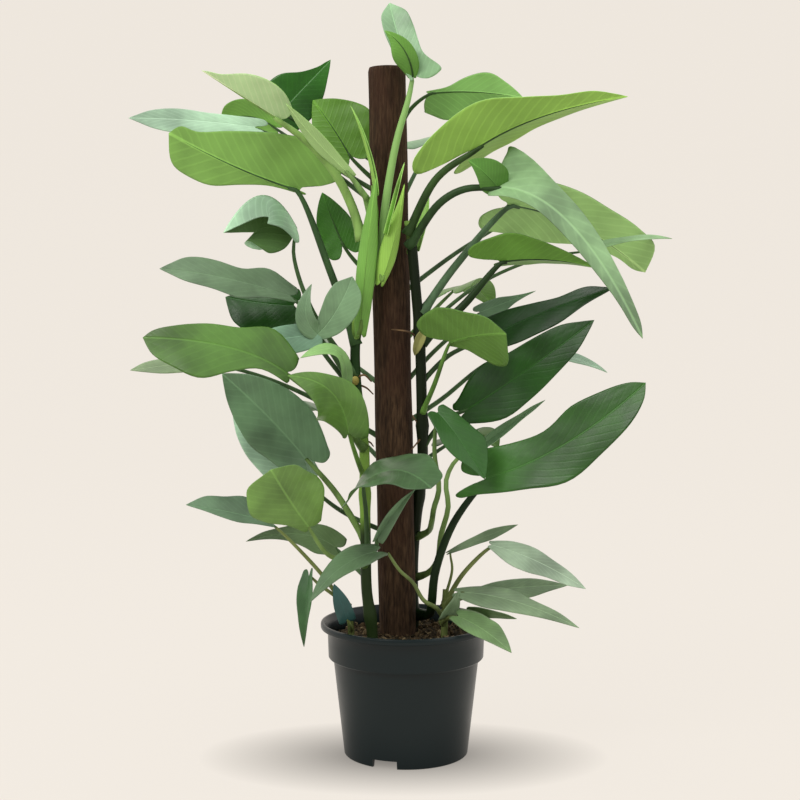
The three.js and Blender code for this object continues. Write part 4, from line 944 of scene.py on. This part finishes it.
def lay_pot():
    """The pot: its profile turned round, with notches in the foot ring and drainage holes in the floor."""
    def place(u, v):
        k = u * (len(POT_PROFILE) - 1)
        i = min(int(k + 1e-6), len(POT_PROFILE) - 2)
        w = k - i
        (r0, z0), (r1, z1) = POT_PROFILE[i], POT_PROFILE[i + 1]
        turn = -FULL_TURN * v
        radius = r0 + (r1 - r0) * w
        return Vector((radius * math.cos(turn), radius * math.sin(turn), z0 + (z1 - z0) * w))

    pot = lay_grid("fine_pot", len(POT_PROFILE) - 1, 160, place, tube=True)
    cutters = []
    for turn in NOTCH_TURNS:
        angle = math.radians(turn)
        spot = (FOOT_RADIUS * MM * math.sin(angle), -FOOT_RADIUS * MM * math.cos(angle), 0)
        bpy.ops.mesh.primitive_cube_add(size=1, location=spot, rotation=(0, 0, angle))
        cutters.append(bpy.context.object)
        cutters[-1].scale = [side * MM for side in NOTCH_SIZE]
    for i in range(DRAIN_HOLES):
        angle = i * FULL_TURN / DRAIN_HOLES
        circle = DRAIN_CIRCLE * MM
        spot = (circle * math.cos(angle), circle * math.sin(angle), DRAIN_HEIGHT * MM)
        size = {"radius": DRAIN_RADIUS * MM, "depth": DRAIN_DEPTH * MM}
        bpy.ops.mesh.primitive_cylinder_add(vertices=24, location=spot, **size)
        cutters.append(bpy.context.object)
    for cutter in cutters:
        cut = pot.modifiers.new("cut", "BOOLEAN")
        cut.operation = "DIFFERENCE"
        cut.object = cutter
        bpy.context.view_layer.objects.active = pot
        bpy.ops.object.modifier_apply(modifier="cut")
    for cutter in cutters:
        bpy.data.objects.remove(cutter)
    pick([pot])
    bpy.ops.object.shade_smooth_by_angle(angle=math.radians(28))
    pot.data.materials.append(pot_look())
    return pot


settle(lay_pot(), "pot")

# The mix, and how many bark chips and coir strands lie within what reach of its middle
MIX_RADIUS = 84
MIX_TOP = 134
CHIP_COUNT = 420
CHIP_REACH = 81
STRAND_MODELS = 8
STRAND_COUNT = 120
STRAND_REACH = 76


def mix_height(x, y):
    """The lumpy top of the mix at a place, in mm."""
    radius = math.hypot(x, y) / MIX_RADIUS
    lump = noise.fractal(Vector((x / 9, y / 9, 3)), 1.0, 2.0, 4) * 2.6
    rise = 2.5 * (math.sin(x / 6.1 + 1) * math.cos(y / 5.3) + 0.6 * math.sin((x + y) / 3.7))
    return MIX_TOP - 6 * radius**6 + (lump * 0.8 + rise * 0.5) * (1 - radius**8)


def random_spot(reach):
    """A place on the mix within reach of its middle."""
    turn = random.uniform(0, FULL_TURN)
    radius = reach * math.sqrt(random.random())
    return radius * math.cos(turn), radius * math.sin(turn)


def scatter(model, spot, tilt, size):
    """One more of a small piece, with its own mesh."""
    piece = model.copy()
    piece.data = model.data.copy()
    bpy.context.collection.objects.link(piece)
    piece.location = Vector(spot) * MM
    piece.rotation_euler = tilt
    piece.scale = size
    return piece


def strand_radius(u, turn):
    return 0.4 - 0.15 * u


def lay_mix():
    """The mix: its lumpy ground, with bark chips and coir strands scattered over it."""
    def place(u, v):
        turn = -FULL_TURN * v
        radius = (MIX_RADIUS + 0.1) * (1 - u)
        x, y = radius * math.cos(turn), radius * math.sin(turn)
        return Vector((x, y, mix_height(x, y)))

    ground = lay_grid("mix_ground", 60, 150, place, tube=True)
    if ground.data.polygons[40].normal.z < 0:
        ground.data.flip_normals()
    ground.data.materials.append(mix_look())
    pieces = [ground]
    chips = []
    for look in chip_looks:
        bpy.ops.mesh.primitive_ico_sphere_add(subdivisions=1, radius=1)
        chips.append(bpy.context.object)
        chips[-1].data.materials.append(look)
    for i in range(CHIP_COUNT):
        x, y = random_spot(CHIP_REACH)
        size = random.uniform(1.5, 5.4)
        shape = (size, size * random.uniform(0.4, 0.8), size * random.uniform(0.25, 0.5))
        height = mix_height(x, y) + random.uniform(-0.5, 1.6)
        tilt = [random.uniform(0, 3.14) for _ in range(3)]
        scale = [side * MM for side in shape]
        pieces.append(scatter(chips[i % len(chips)], (x, y, height), tilt, scale))
    strands = []
    for i in range(STRAND_MODELS):
        length = random.uniform(3, 9)
        sways = [random.uniform(-1, 1) for _ in range(4)]
        stops = [(length * (k / 3 - 0.5), sways[k], 1.6 * math.sin(math.pi * k / 3)) for k in range(4)]
        strands.append(lay_tube(f"strand{i}", even_route(stops, 6), strand_radius, 5, chip_looks[2]))
    for i in range(STRAND_COUNT):
        x, y = random_spot(STRAND_REACH)
        turn = (0, 0, random.uniform(0, 6.28))
        height = mix_height(x, y) + 0.8
        pieces.append(scatter(strands[i % len(strands)], (x, y, height), turn, (1, 1, 1)))
    for model in chips + strands:
        bpy.data.objects.remove(model)
    pick(pieces)
    bpy.ops.object.transform_apply(location=True, rotation=True, scale=True)
    return join("fine_mix", pieces)


CHIP_COLORS = {
    "chip_dark": ((30, 25, 17), (56, 46, 32)),
    "chip_tan": ((90, 76, 54), (136, 118, 88)),
    "chip_coir": ((58, 46, 31), (98, 80, 56)),
}
chip_looks = []
for name, (dark, pale) in CHIP_COLORS.items():
    look = Look(name, 0.92, Specular_IOR_Level=0.15)
    look.set("Base Color", look.mix(look.noise(500, 3), linear(dark), linear(pale)))
    chip_looks.append(look.material)
settle(lay_mix(), "potting_mix")

# The stage, in metres: its way from the front edge along the floor, round the bend and up the wall
FLOOR_FRONT, FLOOR_BACK = -3, 3
FLOOR_WAY, BEND_WAY, WHOLE_WAY = 6, 7.6, 9.5
BEND_RADIUS = 1.02
STAGE_WIDTH = 10


def backdrop_place(u, v):
    """A level floor that turns up smoothly into a wall well behind the plant."""
    way = u * WHOLE_WAY
    if way < FLOOR_WAY:
        y, z = FLOOR_FRONT + way, 0.0
    elif way < BEND_WAY:
        turn = (way - FLOOR_WAY) / (BEND_WAY - FLOOR_WAY) * math.pi / 2
        y, z = FLOOR_BACK + math.sin(turn) * BEND_RADIUS, BEND_RADIUS * (1 - math.cos(turn))
    else:
        y, z = FLOOR_BACK + BEND_RADIUS, BEND_RADIUS + (way - BEND_WAY) * 2
    return Vector((STAGE_WIDTH * (v - 0.5), y, z)) / MM


floor = lay_grid("floor", 120, 4, backdrop_place)
floor_look = Look("floor_pale", 0.95, Specular_IOR_Level=0.0)
floor_look.surface.inputs["Base Color"].default_value = linear((70, 68, 65))
floor_look.surface.inputs["Emission Strength"].default_value = 1.0
# The soft shade on the floor round the foot of the pot, an ellipse about its middle
SHADE_X, SHADE_Y = -0.003, -0.016
SHADE_WIDTH, SHADE_DEPTH = 0.215, 0.13
floor_x, floor_y = floor_look.spot()[:2]
reach = (((floor_x - SHADE_X) / SHADE_WIDTH) ** 2 + ((floor_y - SHADE_Y) / SHADE_DEPTH) ** 2) ** 0.5
share = (reach * 0.83 + 0.12).math("MINIMUM", 1.0)
floor_look.set("Emission Color", floor_look.mix(share, (0, 0, 0, 1), linear((232, 225, 216))))
floor.data.materials.append(floor_look.material)

# A white studio, dim below and bright above and behind
world = bpy.data.worlds.new("studio")
bpy.context.scene.world = world
world.use_nodes = True
tree = world.node_tree
sky_place = tree.nodes.new("ShaderNodeTexCoord")
sky_dot = tree.nodes.new("ShaderNodeVectorMath")
sky_dot.operation = "DOT_PRODUCT"
sky_dot.inputs[1].default_value = (0, 0.5, 0.85)
sky_range = tree.nodes.new("ShaderNodeMapRange")
sky_range.interpolation_type = "SMOOTHSTEP"
for socket, value in zip((1, 2, 3, 4), (-0.7, 0.95, 0.22, 1.42)):
    sky_range.inputs[socket].default_value = value
tree.links.new(sky_place.outputs["Generated"], sky_dot.inputs[0])
tree.links.new(sky_dot.outputs["Value"], sky_range.inputs[0])
background = tree.nodes["Background"]
background.inputs[0].default_value = (1, 1, 1, 1)
tree.links.new(sky_range.outputs[0], background.inputs[1])
bpy.context.scene.view_settings.view_transform = "Standard"


def lamp(name, place, size, power, color=(1, 1, 1)):
    """A soft square lamp aimed at the middle of the plant."""
    bpy.ops.object.light_add(type="AREA", location=place)
    light = bpy.context.object
    light.name = name
    light.data.size = size
    light.data.energy = power
    light.data.color = color
    light.rotation_euler = (PLANT_MIDDLE - Vector(place)).to_track_quat("-Z", "Y").to_euler()


PLANT_MIDDLE = Vector((0, 0, 0.4))
lamp("key", (-1.3, -1.8, 2.4), 1.3, 44, (1, 0.99, 0.96))
lamp("fill", (1.9, -1.6, 1.3), 2.0, 7)

# Where the photo was taken from, fitted to the pot's lip and foot
CAMERA_PLACE = (-0.0067, -1.65, 0.51)
CAMERA_TILT = math.radians(86)
CAMERA_LENS = 67.41
CAMERA_SENSOR = 36
bpy.ops.object.camera_add(location=CAMERA_PLACE, rotation=(CAMERA_TILT, 0, 0))
camera = bpy.context.object
camera.data.lens = CAMERA_LENS
camera.data.sensor_width = CAMERA_SENSOR
bpy.context.scene.camera = camera
